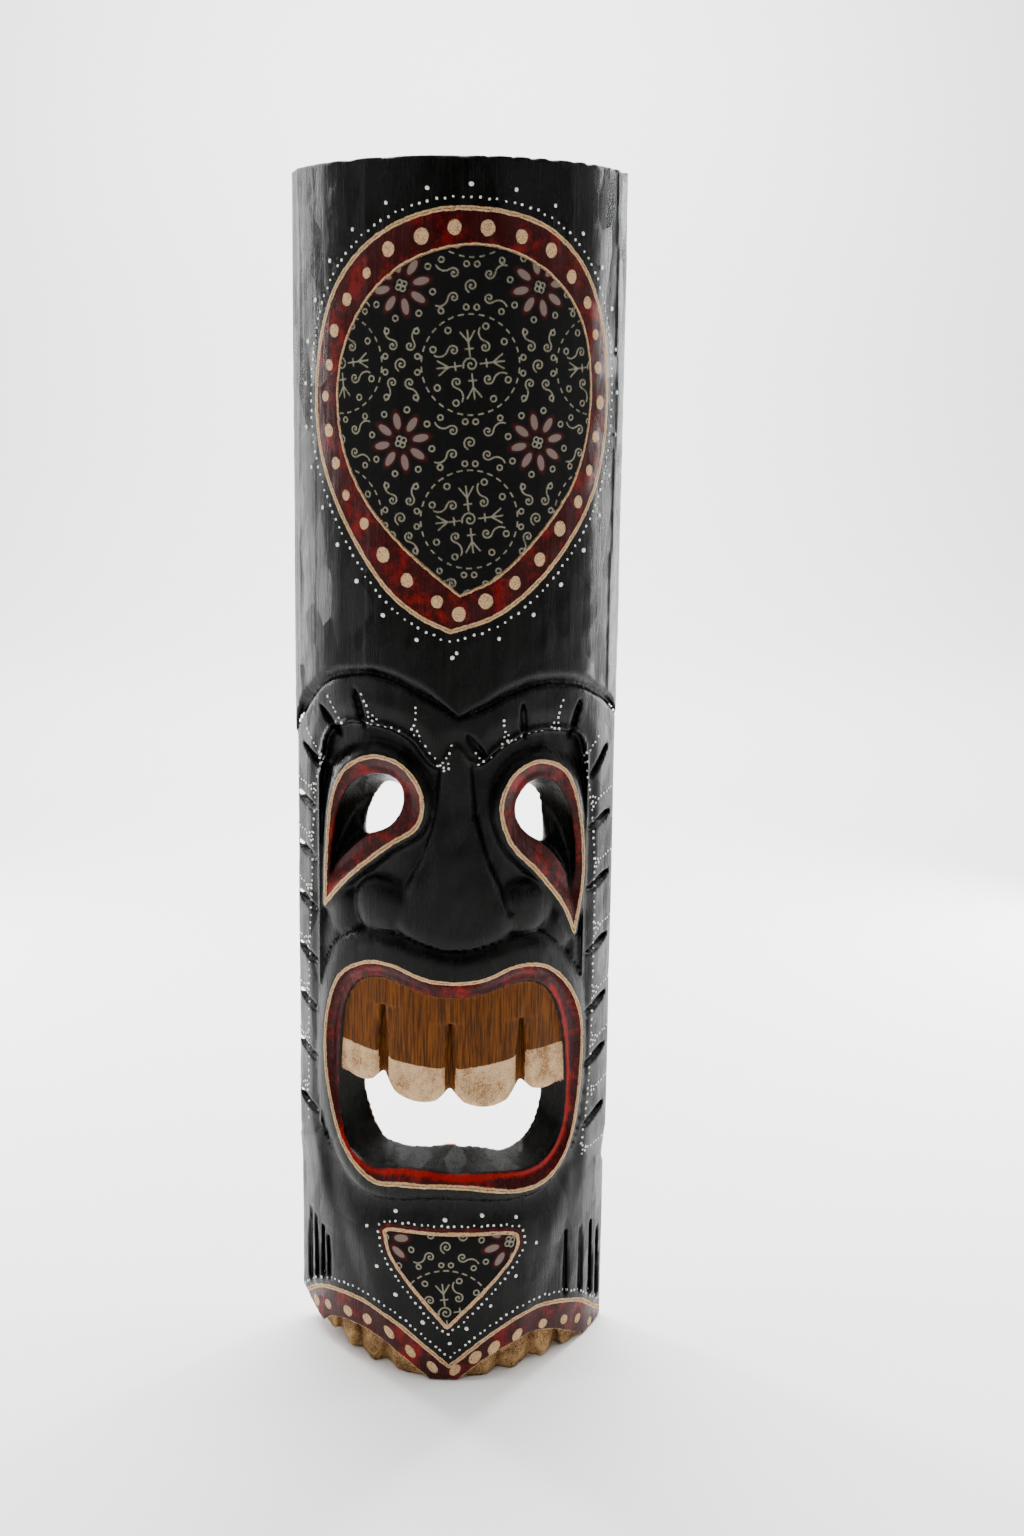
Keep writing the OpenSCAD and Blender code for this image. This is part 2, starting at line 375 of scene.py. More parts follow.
@dataclass(frozen=True)
class PaintedAlbesia:
    """Albesia wood, brushed with satin paint and scraped back to bare wood along the cut lines.

    It gives the eye a near-black surface with soft grey streaks along the grain, maroon brushed
    bands, and pale lines with the wood's own speckle.
    """

    black: str = "#040504"
    worn_black: str = "#0c0d0b"
    maroon: str = "#2f0807"
    bright_red: str = "#86100b"
    pale_wood: str = "#cda980"
    wood_pore: str = "#805b36"
    # This brown stains the raw back and hollow, and is also painted on the teeth as shade.
    stain_and_tooth_shade: str = "#6e3d0e"
    dark_stain: str = "#3d2007"
    toe_wood: str = "#c29a66"
    line_half_width: float = 1.75
    thin_line_less: float = 0.9
    lowest_inner_line: float = 630.0
    grain_mm: float = 1.1
    knife_cut_mm: tuple = (1000 / 68, 1000 / 68, 1000 / 24)
    roughness: float = 0.23
    wood_roughness: float = 0.72

    def patterns(self, t, place) -> dict:
        """Adds the noises: long grain, brush streaks, the hand's wobble, pores, and brushed patches."""
        along = add_node(t, "Mapping", {"Vector": place, "Scale": (1 / (self.grain_mm * MM), 700, 30)})
        wide = add_node(t, "Mapping", {"Vector": place, "Scale": (90, 90, 6)})
        made = {}
        for name, vector, scale, detail, rough in (
            ("grain", along, 1.0, 4.0, 0.65),
            ("streak", wide, 1.0, 5.0, 0.7),
            ("wobble", place, 160.0, 3.0, 0.6),
            ("fine", place, 900.0, 3.0, 0.7),
            ("brushed", place, 42.0, 5.0, 0.75),
        ):
            noise = {"Vector": vector, "Scale": scale, "Detail": detail, "Roughness": rough}
            made[name] = add_node(t, "TexNoise", noise, "Fac")
        return made

    def lines(self, t, place, read: dict):
        """Adds the distance to the nearest scraped line. The panel has a second line, and no hole does."""
        away = {name: add_node(t, "Math", {0: read[name]}, operation="ABSOLUTE")
                for name in ("line", "inner", "band_up", "band_low")}
        high = add_node(t, "SeparateXYZ", {0: place}, "Z")
        on_brow = add_node(t, "Math", {0: high, 1: self.lowest_inner_line * MM}, operation="GREATER_THAN")
        off_brow = add_node(t, "Math", {0: on_brow, 1: -50.0, 2: 50.0}, operation="MULTIPLY_ADD")
        away["inner"] = add_node(t, "Math", {0: away["inner"], 1: off_brow}, operation="ADD")
        away["band_low"] = add_node(t, "Math", {0: away["band_low"], 1: self.thin_line_less}, operation="ADD")
        line = away["line"]
        for name in ("inner", "band_up", "band_low"):
            line = add_node(t, "Math", {0: line, 1: away[name]}, operation="MINIMUM")
        return line

    def reds(self, t, read: dict, shake):
        """Adds where the red is: inside each line, along the foot's band, and lapped over a cloth's edge."""
        within = edge_of(t, read["line"], -0.6, 0.6)
        outside = edge_of(t, read["inner"], -0.4, 0.4, 0.0, 1.0, shake, 1.0)
        ring = add_node(t, "Math", {0: within, 1: outside}, operation="MULTIPLY")
        below = edge_of(t, read["band_up"], -0.4, 0.4)
        above = edge_of(t, read["band_low"], -0.4, 0.4, 0.0, 1.0)
        band = add_node(t, "Math", {0: below, 1: above}, operation="MULTIPLY")
        lap = edge_of(t, read["cloth_lap"], -0.4, 0.4, 1.0, 0.0, shake, 1.6)
        red = add_node(t, "Math", {0: ring, 1: band}, operation="MAXIMUM")
        return add_node(t, "Math", {0: red, 1: lap}, operation="MAXIMUM")

    def colours(self, t, read: dict, noise: dict, parts: dict):
        """Adds the colours, and lays each over the last where its part of the wood is."""
        brushed = add_node(
            t, "Math", {0: read["vivid"], 1: 0.3, 2: noise["brushed"]}, operation="MULTIPLY_ADD"
        )
        patch = add_node(t, "Mix", {0: 0.55, 2: noise["fine"], 3: brushed}, data_type="FLOAT")
        ramps = {}
        for name, pattern, *stops in (
            ("black", noise["streak"], (0.38, self.black), (0.75, self.worn_black)),
            ("red", brushed, (0.5, self.maroon), (0.74, self.bright_red)),
            ("pores", noise["fine"], (0.38, self.wood_pore), (0.52, self.pale_wood)),
            # The stain's brown on the raw back, also painted on the teeth as shade.
            ("stained", noise["grain"], (0.42, self.dark_stain), (0.6, self.stain_and_tooth_shade)),
            ("toe", patch, (0.42, self.dark_stain), (0.62, self.toe_wood)),
            # Paler wood along each tooth's foot, painted as a lit facet.
            ("chalky", patch, (0.4, self.wood_pore), (0.54, self.pale_wood)),
        ):
            ramps[name] = add_node(t, "ValToRGB", {"Fac": pattern}, stops=stops)
        # Each tooth shows the stain's brown as painted shade in its upper part and its cuts, and paler wood
        # as a painted lit facet along its foot.
        tooth_painted_shade = {0: parts["tooth_painted_shade"], 6: ramps["chalky"], 7: ramps["stained"]}
        tooth = add_node(t, "Mix", tooth_painted_shade, 2, data_type="RGBA")
        colour = ramps["black"]
        for share, over in (
            (parts["red"], ramps["red"]),
            (parts["bare"], ramps["pores"]),
            (parts["nick"], to_linear(self.dark_stain)),
            (read["teeth"], tooth),
            (parts["toe"], ramps["toe"]),
            (parts["raw"], ramps["stained"]),
        ):
            colour = add_node(t, "Mix", {0: share, 6: colour, 7: over}, 2, data_type="RGBA")
        return colour

    def knife_cuts(self, t, place):
        """Adds the knife's flat cuts over the face, each leaning its own way, as a bumped normal."""
        stretched = add_node(
            t, "Mapping", {"Vector": place, "Scale": tuple(1 / (size * MM) for size in self.knife_cut_mm)}
        )
        tone = add_node(t, "TexVoronoi", {"Vector": stretched, "Scale": 1.0, "Randomness": 0.9}, "Color")
        lean = add_node(t, "VectorMath", {0: tone, 1: (0.5, 0.5, 0.5)}, operation="SUBTRACT")
        middle = tone.node.outputs["Position"]
        inside = add_node(t, "VectorMath", {0: stretched, 1: middle}, operation="SUBTRACT")
        height = add_node(t, "VectorMath", {0: lean, 1: inside}, "Value", operation="DOT_PRODUCT")
        return add_node(t, "Bump", {"Strength": 0.8, "Distance": 0.0032, "Height": height})

    def build(self) -> bpy.types.Material:
        """Makes the material, which reads the distances stored on the carving."""
        made, t = new_material("satin_painted_albesia")
        place = add_node(t, "TexCoord", out="Object")
        names = ("line", "inner", "spots", "teeth", "stain_and_tooth_shade", "toes", "band_up", "band_low", "cloth_lap",
                 "raw", "vivid")
        read = {name: add_node(t, "Attribute", out="Fac", attribute_name=name) for name in names}
        noise = self.patterns(t, place)
        # The knife's and the brush's unsteadiness, in millimetres.
        shake = add_node(t, "Math", {0: noise["wobble"], 1: 2.2, 2: -1.1}, operation="MULTIPLY_ADD")
        line = self.lines(t, place, read)
        half = self.line_half_width
        scraped = edge_of(t, line, half - 0.25, half + 0.25, 1.0, 0.0, shake, 0.95)
        dished = edge_of(t, read["spots"], -0.3, 0.3, 1.0, 0.0, shake, 0.9)
        bare = add_node(t, "Math", {0: scraped, 1: dished}, operation="MAXIMUM")
        parts = {
            "red": self.reds(t, read, shake),
            "bare": bare,
            "nick": edge_of(t, line, 0.1, 0.5, 0.75, 0.0, shake, 0.7),
            # Where a tooth is painted in shade: its upper part and the cuts between teeth.
            "tooth_painted_shade": edge_of(t, read["stain_and_tooth_shade"], -0.4, 0.4, 0.0, 1.0, shake, 1.2),
            "toe": edge_of(t, read["toes"], -0.5, 0.5, 0.0, 1.0),
            "raw": edge_of(t, read["raw"], -0.4, 0.4, 0.0, 1.0, shake, 1.5),
        }
        wood = bare
        for part in (read["teeth"], parts["toe"], parts["raw"]):
            wood = add_node(t, "Math", {0: wood, 1: part}, operation="MAXIMUM")
        # Paint is satin, and brushed thin it shows the grain. Bare wood is matt.
        satin = edge_of(t, noise["streak"], 0.3, 0.7, self.roughness - 0.08, self.roughness + 0.14)
        rough = add_node(t, "Mix", {0: wood, 2: satin, 3: self.wood_roughness}, data_type="FLOAT")
        height = noise["fine"]
        for pattern, share in ((noise["grain"], 0.8), (noise["streak"], 2.5), (bare, -1.6)):
            height = add_node(t, "Math", {0: pattern, 1: share, 2: height}, operation="MULTIPLY_ADD")
        cuts = self.knife_cuts(t, place)
        bump = add_node(t, "Bump", {"Strength": 0.6, "Distance": 0.0004, "Height": height, "Normal": cuts})
        surface = {"Base Color": self.colours(t, read, noise, parts), "Roughness": rough, "Normal": bump,
                   "IOR": 1.5, "Specular IOR Level": 0.11}
        add_node(t, "OutputMaterial", {"Surface": add_node(t, "BsdfPrincipled", surface)})
        return made


@dataclass(frozen=True)
class RawAlbesia:
    """Albesia left bare and stained brown, sawn flat on the back and gouged in the hollow.

    It gives the eye long dull grain lines with darker pores, and no shine.
    """

    light: str = "#8d663c"
    dark: str = "#4c3119"
    ring_mm: float = 5.0

    def build(self) -> bpy.types.Material:
        """Makes the material."""
        made, t = new_material("raw_stained_albesia")
        place = add_node(t, "TexCoord", out="Object")
        along = add_node(t, "Mapping", {"Vector": place, "Scale": (1 / (self.ring_mm * MM), 200, 7)})
        grain = {"Vector": along, "Scale": 1.0, "Detail": 5.0, "Roughness": 0.6, "Distortion": 0.4}
        rings = add_node(t, "TexNoise", grain, "Fac")
        pores = {"Vector": place, "Scale": 700.0, "Detail": 3.0, "Roughness": 0.7}
        fine = add_node(t, "TexNoise", pores, "Fac")
        both = add_node(t, "Mix", {0: 0.35, 2: rings, 3: fine}, data_type="FLOAT")
        ramp = add_node(t, "ValToRGB", {"Fac": both}, stops=((0.36, self.dark), (0.62, self.light)))
        bump = add_node(t, "Bump", {"Strength": 0.6, "Distance": 0.0005, "Height": both})
        surface = {"Base Color": ramp, "Roughness": 0.8, "Normal": bump, "IOR": 1.5}
        add_node(t, "OutputMaterial", {"Surface": add_node(t, "BsdfPrincipled", surface)})
        return made


@dataclass(frozen=True)
class BatikCotton:
    """Black plain-weave cotton with a wax-resist print, glued down.

    It gives the eye a matt black ground with a fine weave, grey-beige lines with soft edges, and
    a dull red halo round the flowers.
    """

    ground: str = "#060706"
    pale: str = "#99937f"
    petal: str = "#85746c"
    halo: str = "#4a0c0e"
    thread_mm: float = 0.9

    def build(self) -> bpy.types.Material:
        """Makes the material, which reads the print stored on the cloth."""
        made, t = new_material("batik_printed_cotton")
        place = add_node(t, "TexCoord", out="Object")
        lines = add_node(t, "Attribute", out="Fac", attribute_name="print_lines")
        petals = add_node(t, "Attribute", out="Fac", attribute_name="print_petals")
        # The real threads are about 0.3 mm apart, too fine to show, so they are drawn coarser.
        threads = {"Vector": place, "Scale": 1 / (self.thread_mm * MM * math.tau) * 2, "Distortion": 0.6}
        warp, weft = (add_node(t, "TexWave", threads, "Fac", bands_direction=way) for way in "XZ")
        weave = add_node(t, "Math", {0: warp, 1: weft}, operation="MULTIPLY")
        wax = {"Vector": place, "Scale": 900.0, "Detail": 2.0, "Roughness": 0.6}
        bleed = add_node(t, "TexNoise", wax, "Fac")
        shake = add_node(t, "Math", {0: bleed, 1: 0.8, 2: -0.4}, operation="MULTIPLY_ADD")
        colour = to_linear(self.ground)
        for share, over in (
            (edge_of(t, petals, 0.6, 2.6, 0.75, 0.0, shake, 1.0), self.halo),
            (edge_of(t, lines, -0.25, 0.35, 1.0, 0.0, shake, 1.0), self.pale),
            (edge_of(t, petals, -0.3, 0.3, 1.0, 0.0, shake, 1.0), self.petal),
        ):
            colour = add_node(t, "Mix", {0: share, 6: colour, 7: to_linear(over)}, 2, data_type="RGBA")
        # The cloth is painted darker between the threads, where the weave's bump is low, as painted shade in
        # its hollows.
        weave_hollow_shade = edge_of(t, weave, 0.0, 1.0, 0.62, 1.0)
        colour = add_node(
            t, "Mix", {0: 1.0, 6: colour, 7: weave_hollow_shade}, 2, data_type="RGBA", blend_type="MULTIPLY"
        )
        bump = add_node(t, "Bump", {"Strength": 0.4, "Distance": 0.0002, "Height": weave})
        surface = {"Base Color": colour, "Roughness": 0.9, "Normal": bump, "IOR": 1.46,
                   "Specular IOR Level": 0.2}
        add_node(t, "OutputMaterial", {"Surface": add_node(t, "BsdfPrincipled", surface)})
        return made


@dataclass(frozen=True)
class DotPaint:
    """White acrylic, set down in drops from a stick.

    It gives the eye small raised beads with a soft gloss.
    """

    colour: str = "#f0f0ea"
    shade: str = "#c9cbc4"

    def build(self) -> bpy.types.Material:
        """Makes the material."""
        made, t = new_material("white_acrylic_drops")
        place = add_node(t, "TexCoord", out="Object")
        patch = add_node(t, "TexNoise", {"Vector": place, "Scale": 400.0, "Detail": 2.0}, "Fac")
        ramp = add_node(t, "ValToRGB", {"Fac": patch}, stops=((0.3, self.shade), (0.55, self.colour)))
        surface = {"Base Color": ramp, "Roughness": 0.4, "IOR": 1.48}
        add_node(t, "OutputMaterial", {"Surface": add_node(t, "BsdfPrincipled", surface)})
        return made


@dataclass(frozen=True)
class ZincSteel:
    """Bright zinc plate on pressed or drawn steel.

    It gives the eye a cool grey with faint spangles and rub marks.
    """

    name: str
    light: str = "#c3c8cb"
    dark: str = "#8d9397"
    roughness: float = 0.32
    spangle_mm: float = 2.5

    def build(self) -> bpy.types.Material:
        """Makes the material."""
        made, t = new_material(self.name)
        place = add_node(t, "TexCoord", out="Object")
        spangle = add_node(
            t, "TexVoronoi", {"Vector": place, "Scale": 1 / (self.spangle_mm * MM)}, "Color"
        )
        rub = add_node(t, "TexNoise", {"Vector": place, "Scale": 600.0, "Detail": 4.0}, "Fac")
        mixed = add_node(t, "Mix", {0: 0.4, 6: rub, 7: spangle}, 2, data_type="RGBA")
        ramp = add_node(t, "ValToRGB", {"Fac": mixed}, stops=((0.3, self.dark), (0.7, self.light)))
        rough = edge_of(t, rub, 0.0, 1.0, self.roughness - 0.08, self.roughness + 0.12)
        bump = add_node(t, "Bump", {"Strength": 0.15, "Distance": 0.0001, "Height": rub})
        surface = {"Base Color": ramp, "Metallic": 1.0, "Roughness": rough, "Normal": bump}
        add_node(t, "OutputMaterial", {"Surface": add_node(t, "BsdfPrincipled", surface)})
        return made


# ---------------------------------------------------------------- the log and its face


@dataclass(frozen=True)
class Log:
    """The half log that everything is cut from, in the CAD part's own sizes."""

    radius: float = 148.0
    depth: float = 92.0
    height: float = 1000.0
    wall: float = 34.0
    top_block: float = 72.0
    foot_block: float = 60.0
    hollow_corner: float = 40.0
    crest_y: float = -46.0

    @property
    def axis_y(self) -> float:
        """Where the log's axis is, behind its flat back."""
        return self.crest_y + self.radius

    @property
    def back_y(self) -> float:
        """Where the flat back is."""
        return self.crest_y + self.depth

    @property
    def half_width(self) -> float:
        """Half of the flat back's width."""
        return math.sqrt(self.radius**2 - (self.radius - self.depth) ** 2)

    def across(self, x: Array) -> Array:
        """The distance round the bark from the crest, for a place across the front view."""
        return self.radius * np.arcsin(np.clip(np.asarray(x) / self.radius, -0.9999, 0.9999))

    def place(self, s: Array, z: Array, down: Array) -> Array:
        """The points that lie a depth below the bark, one row each."""
        x = self.radius * np.sin(np.asarray(s) / self.radius)
        r = self.radius - down
        y = self.axis_y - np.sqrt(np.maximum(r**2 - x**2, 1.0))
        return np.stack([x, y, z], axis=-1)


@dataclass(frozen=True)
class FaceDrawing:
    """The outlines of the face on the unrolled bark: across from the crest, and up from the foot."""

    forehead: Points = (
        (8, 961), (-38, 954), (-80, 931), (-112, 893), (-128, 840), (-126, 785), (-104, 735), (-66, 681),
        (-36, 654), (-5, 639), (-5, 639), (35, 654), (80, 691), (121, 745), (137, 800), (134, 860),
        (110, 915), (66, 950),
    )
    panel: Points = (
        (11, 934), (-40, 921), (-78, 889), (-100, 845), (-101, 796), (-83, 751), (-48, 710), (2, 668),
        (2, 668), (32, 683), (68, 717), (99, 757), (114, 805), (112, 855), (95, 892), (58, 922),
    )
    left_eye: Points = (
        (-122, 399), (-122, 399), (-120, 440), (-114, 487), (-99, 518), (-71, 534), (-44, 529), (-28, 507),
        (-31, 481), (-56, 462), (-88, 435), (-108, 415),
    )
    left_hole: Points = (
        (-115, 424), (-115, 424), (-112, 458), (-103, 490), (-87, 511), (-64, 520), (-46, 514), (-43, 496),
        (-54, 478), (-78, 464), (-103, 440),
    )
    right_eye: Points = (
        (109, 380), (109, 380), (119, 425), (115, 475), (99, 516), (72, 531), (48, 522), (37, 496),
        (46, 465), (70, 439), (96, 406),
    )
    right_hole: Points = (
        (105, 402), (105, 402), (110, 442), (102, 485), (84, 512), (62, 514), (49, 495), (56, 475),
        (80, 455), (98, 430),
    )
    mouth: Points = (
        (-118, 312), (-104, 342), (-78, 360), (-52, 362), (-20, 352), (20, 352), (52, 362), (80, 357),
        (105, 333), (120, 300), (121, 258), (112, 202), (92, 173), (60, 165), (8, 174), (-40, 173),
        (-72, 171), (-102, 195), (-119, 240), (-123, 278),
    )
    mouth_hole: Points = (
        (-100, 314), (-84, 340), (-58, 348), (-20, 337), (20, 337), (56, 346), (80, 337), (95, 310),
        (103, 262), (100, 207), (75, 180), (30, 181), (-35, 184), (-70, 179), (-97, 195), (-106, 235),
        (-105, 275),
    )
    lips: Points = (
        (-127, 335), (-110, 368), (-80, 388), (-50, 389), (0, 377), (50, 387), (76, 385), (100, 363),
        (121, 335), (129, 275), (124, 225), (108, 180), (70, 155), (-8, 160), (-70, 152), (-105, 168),
        (-128, 205), (-136, 255), (-133, 300),
    )
    chin: Points = (
        (-57, 121), (-52, 129), (-3, 131), (47, 128), (56, 118), (40, 94), (-4, 49), (-4, 49), (-47, 99),
    )
    nose: Points = (
        (-12, 575), (-12, 553), (-14, 515), (-19, 480), (-28, 452), (-40, 430), (-47, 408), (-46, 388),
        (-20, 373), (3, 370), (29, 376), (46, 388), (48, 405), (40, 424), (29, 447), (20, 478), (15, 512),
        (12, 553), (12, 575),
    )
    sunk: Points = (
        (-131, 200), (-131, 200), (-130, 300), (-130, 420), (-130, 506), (-121, 546), (-96, 561),
        (-62, 563), (-36, 554), (-15, 532), (0, 548), (16, 534), (36, 549), (64, 559), (96, 556),
        (117, 545), (125, 506), (122, 400), (119, 300), (115, 190), (115, 190), (70, 170), (-70, 168),
    )
    teeth: Points = (
        (-112, 370), (-112, 370), (-109, 300), (-107, 270), (-101, 255), (-90, 250), (-76, 250), (-60, 257),
        (-60, 257), (-51, 246), (-32, 240), (-14, 242), (-3, 249), (-3, 249), (8, 241), (27, 236),
        (45, 240), (57, 251), (57, 251), (72, 244), (88, 243), (101, 249), (107, 264), (110, 300),
        (112, 370), (112, 370),
    )
    left_back: Points = (
        (-73, 452), (-72, 478), (-58, 503), (-42, 503), (-35, 486), (-40, 466), (-56, 452),
    )
    right_back: Points = (
        (72, 448), (58, 448), (42, 466), (38, 486), (46, 503), (61, 503), (70, 480),
    )
    mouth_back: Points = (
        (-74, 310), (-66, 330), (-42, 336), (-2, 326), (42, 336), (69, 310), (74, 262), (71, 218),
        (50, 188), (3, 196), (-52, 192), (-72, 220), (-76, 262),
    )
    ridge: Points = (
        (-188, 518), (-169, 539), (-147, 562), (-125, 583), (-104, 595), (-75, 601), (-52, 598), (-32, 589),
        (-13, 579), (2, 569), (2, 569), (25, 578), (45, 588), (72, 594), (106, 589), (128, 579), (156, 563),
        (188, 539),
    )
    ridge_top: Points = (
        (-188, 536), (-153, 578), (-125, 597), (-98, 607), (-72, 610), (-48, 607), (-27, 598), (2, 573),
        (2, 573), (20, 586), (44, 599), (69, 605), (99, 603), (128, 592), (170, 566), (188, 556),
    )
    foot_band_top: Points = (
        (-190, 4), (-165, 20), (-130, 47), (-92, 57), (-55, 51), (-25, 32), (-2, 13), (-2, 13), (33, 40),
        (72, 54), (120, 41), (156, 13), (190, -8),
    )
    foot_band_low: Points = (
        (-190, -12), (-140, 4), (-115, 25), (-85, 32), (-53, 24), (-20, 2), (-8, -9), (-2, -9), (5, 0),
        (33, 21), (66, 31), (95, 24), (127, 4), (150, -12), (190, -20),
    )
    brow_cuts: tuple = (
        ((-126, 568), (-102, 545)), ((-87, 587), (-77, 556)), ((-153, 529), (-120, 513)),
        ((8, 556), (24, 537)), ((54, 579), (56, 550)), ((110, 576), (100, 546)),
        ((152, 531), (127, 508)),
    )
    left_cuts: tuple = (481, 437, 393, 347, 304, 259, 211)
    right_cuts: tuple = (468, 415, 359, 306, 259, 204)
    flutes: tuple = (
        (-148, 44, 116), (-137, 52, 111), (-127, 58, 105), (-119, 62, 99),
        (106, 54, 112), (126, 48, 108), (142, 36, 104), (155, 26, 94),
    )
    tooth_gaps: Points = ((-60, 322), (-3, 311), (57, 312))
    toe_cuts: tuple = (-105, -82, -56, 39, 69, 96)

    def height_of(self, points: Points, s: Array) -> Array:
        """How high a line that runs across the face is, for each place across."""
        line = curve_through(points, 4, closed=False)
        return np.interp(s, line[:, 0], line[:, 1])


@dataclass
class Relief:
    """How deep the carver went below the bark at each place on the face."""

    log: Log
    drawing: FaceDrawing
    sunk_depth: float = 11.0
    band_depth: float = 2.2
    groove_depth: float = 7.0
    tooth_depth: float = 12.0
    flat_widths: tuple = (26, 31, 22, 34, 27, 30, 24, 33, 25, 29, 23, 35)

    def flats(self, s: Array, z: Array) -> Array:
        """The long flats that the plane left down the log."""
        edges = np.concatenate([[-190.0], -190 + np.cumsum(self.flat_widths), [190.0]])
        lean = s + 3.5 * np.sin(z / 170.0) + 2.0 * np.sin(z / 61.0 + s / 40)
        i = np.clip(np.searchsorted(edges, lean) - 1, 0, len(edges) - 2)
        middle, half = (edges[i] + edges[i + 1]) / 2, (edges[i + 1] - edges[i]) / 2
        r = self.log.radius
        flat = r * np.cos(half / r) / np.cos(np.clip((lean - middle) / r, -1, 1))
        tilt = 0.085 * np.sin(i * 2.3 + 0.6) * (lean - middle)
        return np.maximum(r - flat + tilt, 0)

    def nose(self, s: Array, z: Array) -> Array:
        """The nose: a rounded bridge that widens downwards, and a wing on each side of it."""
        edge = near_curve(self.drawing.nose, s, z, 5)
        half = np.interp(z, *zip((375, 20.0), (420, 19.0), (470, 14.0), (560, 11.0)))
        t = np.clip(-edge / half, 0, 1)
        crest = np.interp(z, *zip((372, 2.2), (392, 0.3), (440, 1.2), (500, 3.2), (550, 2.6)))
        form = crest + (9.0 - crest) * (1 - np.sqrt(np.clip(1 - (1 - t) ** 2.2, 0, 1)))
        form = form + 0.9 * np.maximum(edge, 0)
        for middle, height, wide, tall in ((-61, 408, 27.0, 24.5), (60, 409, 26.5, 23.0)):
            d = np.hypot((s - middle) / wide, (z - height) / tall)
            wing = 2.4 + 7.0 * (1 - np.sqrt(np.clip(1 - d**2.4, 0, 1))) + 22 * np.maximum(d - 1, 0)
            form = soft_least(form, wing, 4.5)
        for a, b in (((13, 545), (17, 490)), ((17, 490), (30, 450)), ((30, 450), (45, 408))):
            off, _ = stroke_distance(a, b, s, z)
            form = form + 2.4 * np.clip(1 - off / 4.5, 0, 1)
        return form

    def depth(self, s: Array, z: Array) -> Array:
        """Depth below the bark, in millimetres.

        Args:
            s: Places across, measured round the bark.
            z: Places up from the foot.

        Returns:
            One depth for each place.
        """
        d = self.drawing
        flats = self.flats(s, z)
        sunk = near_curve(d.sunk, s, z)
        lips = near_curve(d.lips, s, z)
        mouth = near_curve(d.mouth, s, z)
        eyes = np.minimum(
            near_curve(d.left_eye, s, z), near_curve(d.right_eye, s, z)
        )
        ridge = d.height_of(d.ridge, s)
        top = d.height_of(d.ridge_top, s)

        # Brow and side bands, a little below the bark, from the ridge down to a step beside the mouth.
        end = np.where(s < 0, np.interp(s, [-185, -131, -126, -124], [167, 193, 196, 530]),
                       np.interp(s, [114, 117, 172, 185], [530, 184, 144, 134]))
        in_band = np.minimum(ridge - z, (z - end) * 0.9)
        band = self.band_depth * ease(-0.6, 1.2, in_band)
        band = band + 2.0 * ease(-16, 0, -np.abs(sunk)) * (in_band > 0) * (sunk > 0)

        # The groove over the brow: a long upper slope and a steep lower wall.
        t = np.clip((z - ridge) / np.maximum(top - ridge, 1.0), 0, 1)
        groove = np.where(z >= ridge, (1 - t) ** 1.15, 1 - 3.6 * (ridge - z) / self.groove_depth)
        groove = self.groove_depth * groove
        groove = np.maximum(groove, 0) * (1 - 0.8 * ease(156, 174, np.abs(s)))

        # The sunk face, and what stands up out of it.
        floor = self.sunk_depth * ease(0, 7, -sunk)
        shallow = 5.0 + (self.sunk_depth - 5.0) * np.maximum(ease(368, 425, z), 1 - ease(98, 108, np.abs(s)))
        floor = np.minimum(floor, shallow)
        rims = 1.8 + 10.5 * ease(1, 15, eyes) + 0.62 * np.clip(-eyes, 0, 9)
        cheek_left = 3.0 + 8.0 * np.clip(np.hypot((s + 106) / 24, (z - 400) / 34), 0, 2) ** 2.5
        cheek_right = 3.0 + 8.0 * np.clip(np.hypot((s - 96) / 22, (z - 390) / 30), 0, 2) ** 2.5
        roll = np.clip(-lips / 15, 0, 1)
        foot = 9.5 - 5.0 * ease(112, 128, np.abs(s + 3))
        lip = foot - (foot - 1.0) * np.sqrt(np.clip(1 - (1 - roll) ** 2, 0, 1)) + 0.9 * np.maximum(lips, 0)
        lip = lip + 0.6 * np.clip(-mouth, 0, 10) + 1.2 * ease(0, 6, -mouth)
        proud = soft_least(self.nose(s, z), rims, 3.0)
        proud = soft_least(proud, soft_least(cheek_left, cheek_right, 1.0), 3.0)
        proud = soft_least(proud, lip, 1.6)
        face = soft_least(floor, proud, 1.5)
        face = np.where(lips < 0, lip, face)

        # The chin is scooped under the lip, and comes back to the bark by the chin panel.
        below = np.clip((215 - z) / 45, 0, 1)
        scoop = 8.5 * np.exp(-((np.maximum(lips, 0) / 27.0) ** 2)) * below * (lips > 0)
        scoop = scoop * (1 - ease(112, 140, np.abs(s)))

        # Broad facets run from the corners of the mouth down to the foot.
        jaw = 2.6 * ease(0, 24, np.abs(s - 2) - 60 - 0.42 * (z - 60)) * (1 - ease(150, 190, z))

        hand = 0.28 * waves(s, z, 75, 3) + 0.16 * waves(s, z, 24, 5)
        found = np.maximum(flats * (z > 560) + flats * 0.7 * (z <= 560), 0)
        found = np.maximum(found, band)
        found = np.maximum(found, groove)
        found = np.maximum(found, np.where(sunk < 0, face, 0))
        found = np.where(lips < 0, lip, found)
        found = soft_most(found, scoop + 0.3, 1.5) + jaw
        found = found + np.maximum(hand, -0.2) + 0.25

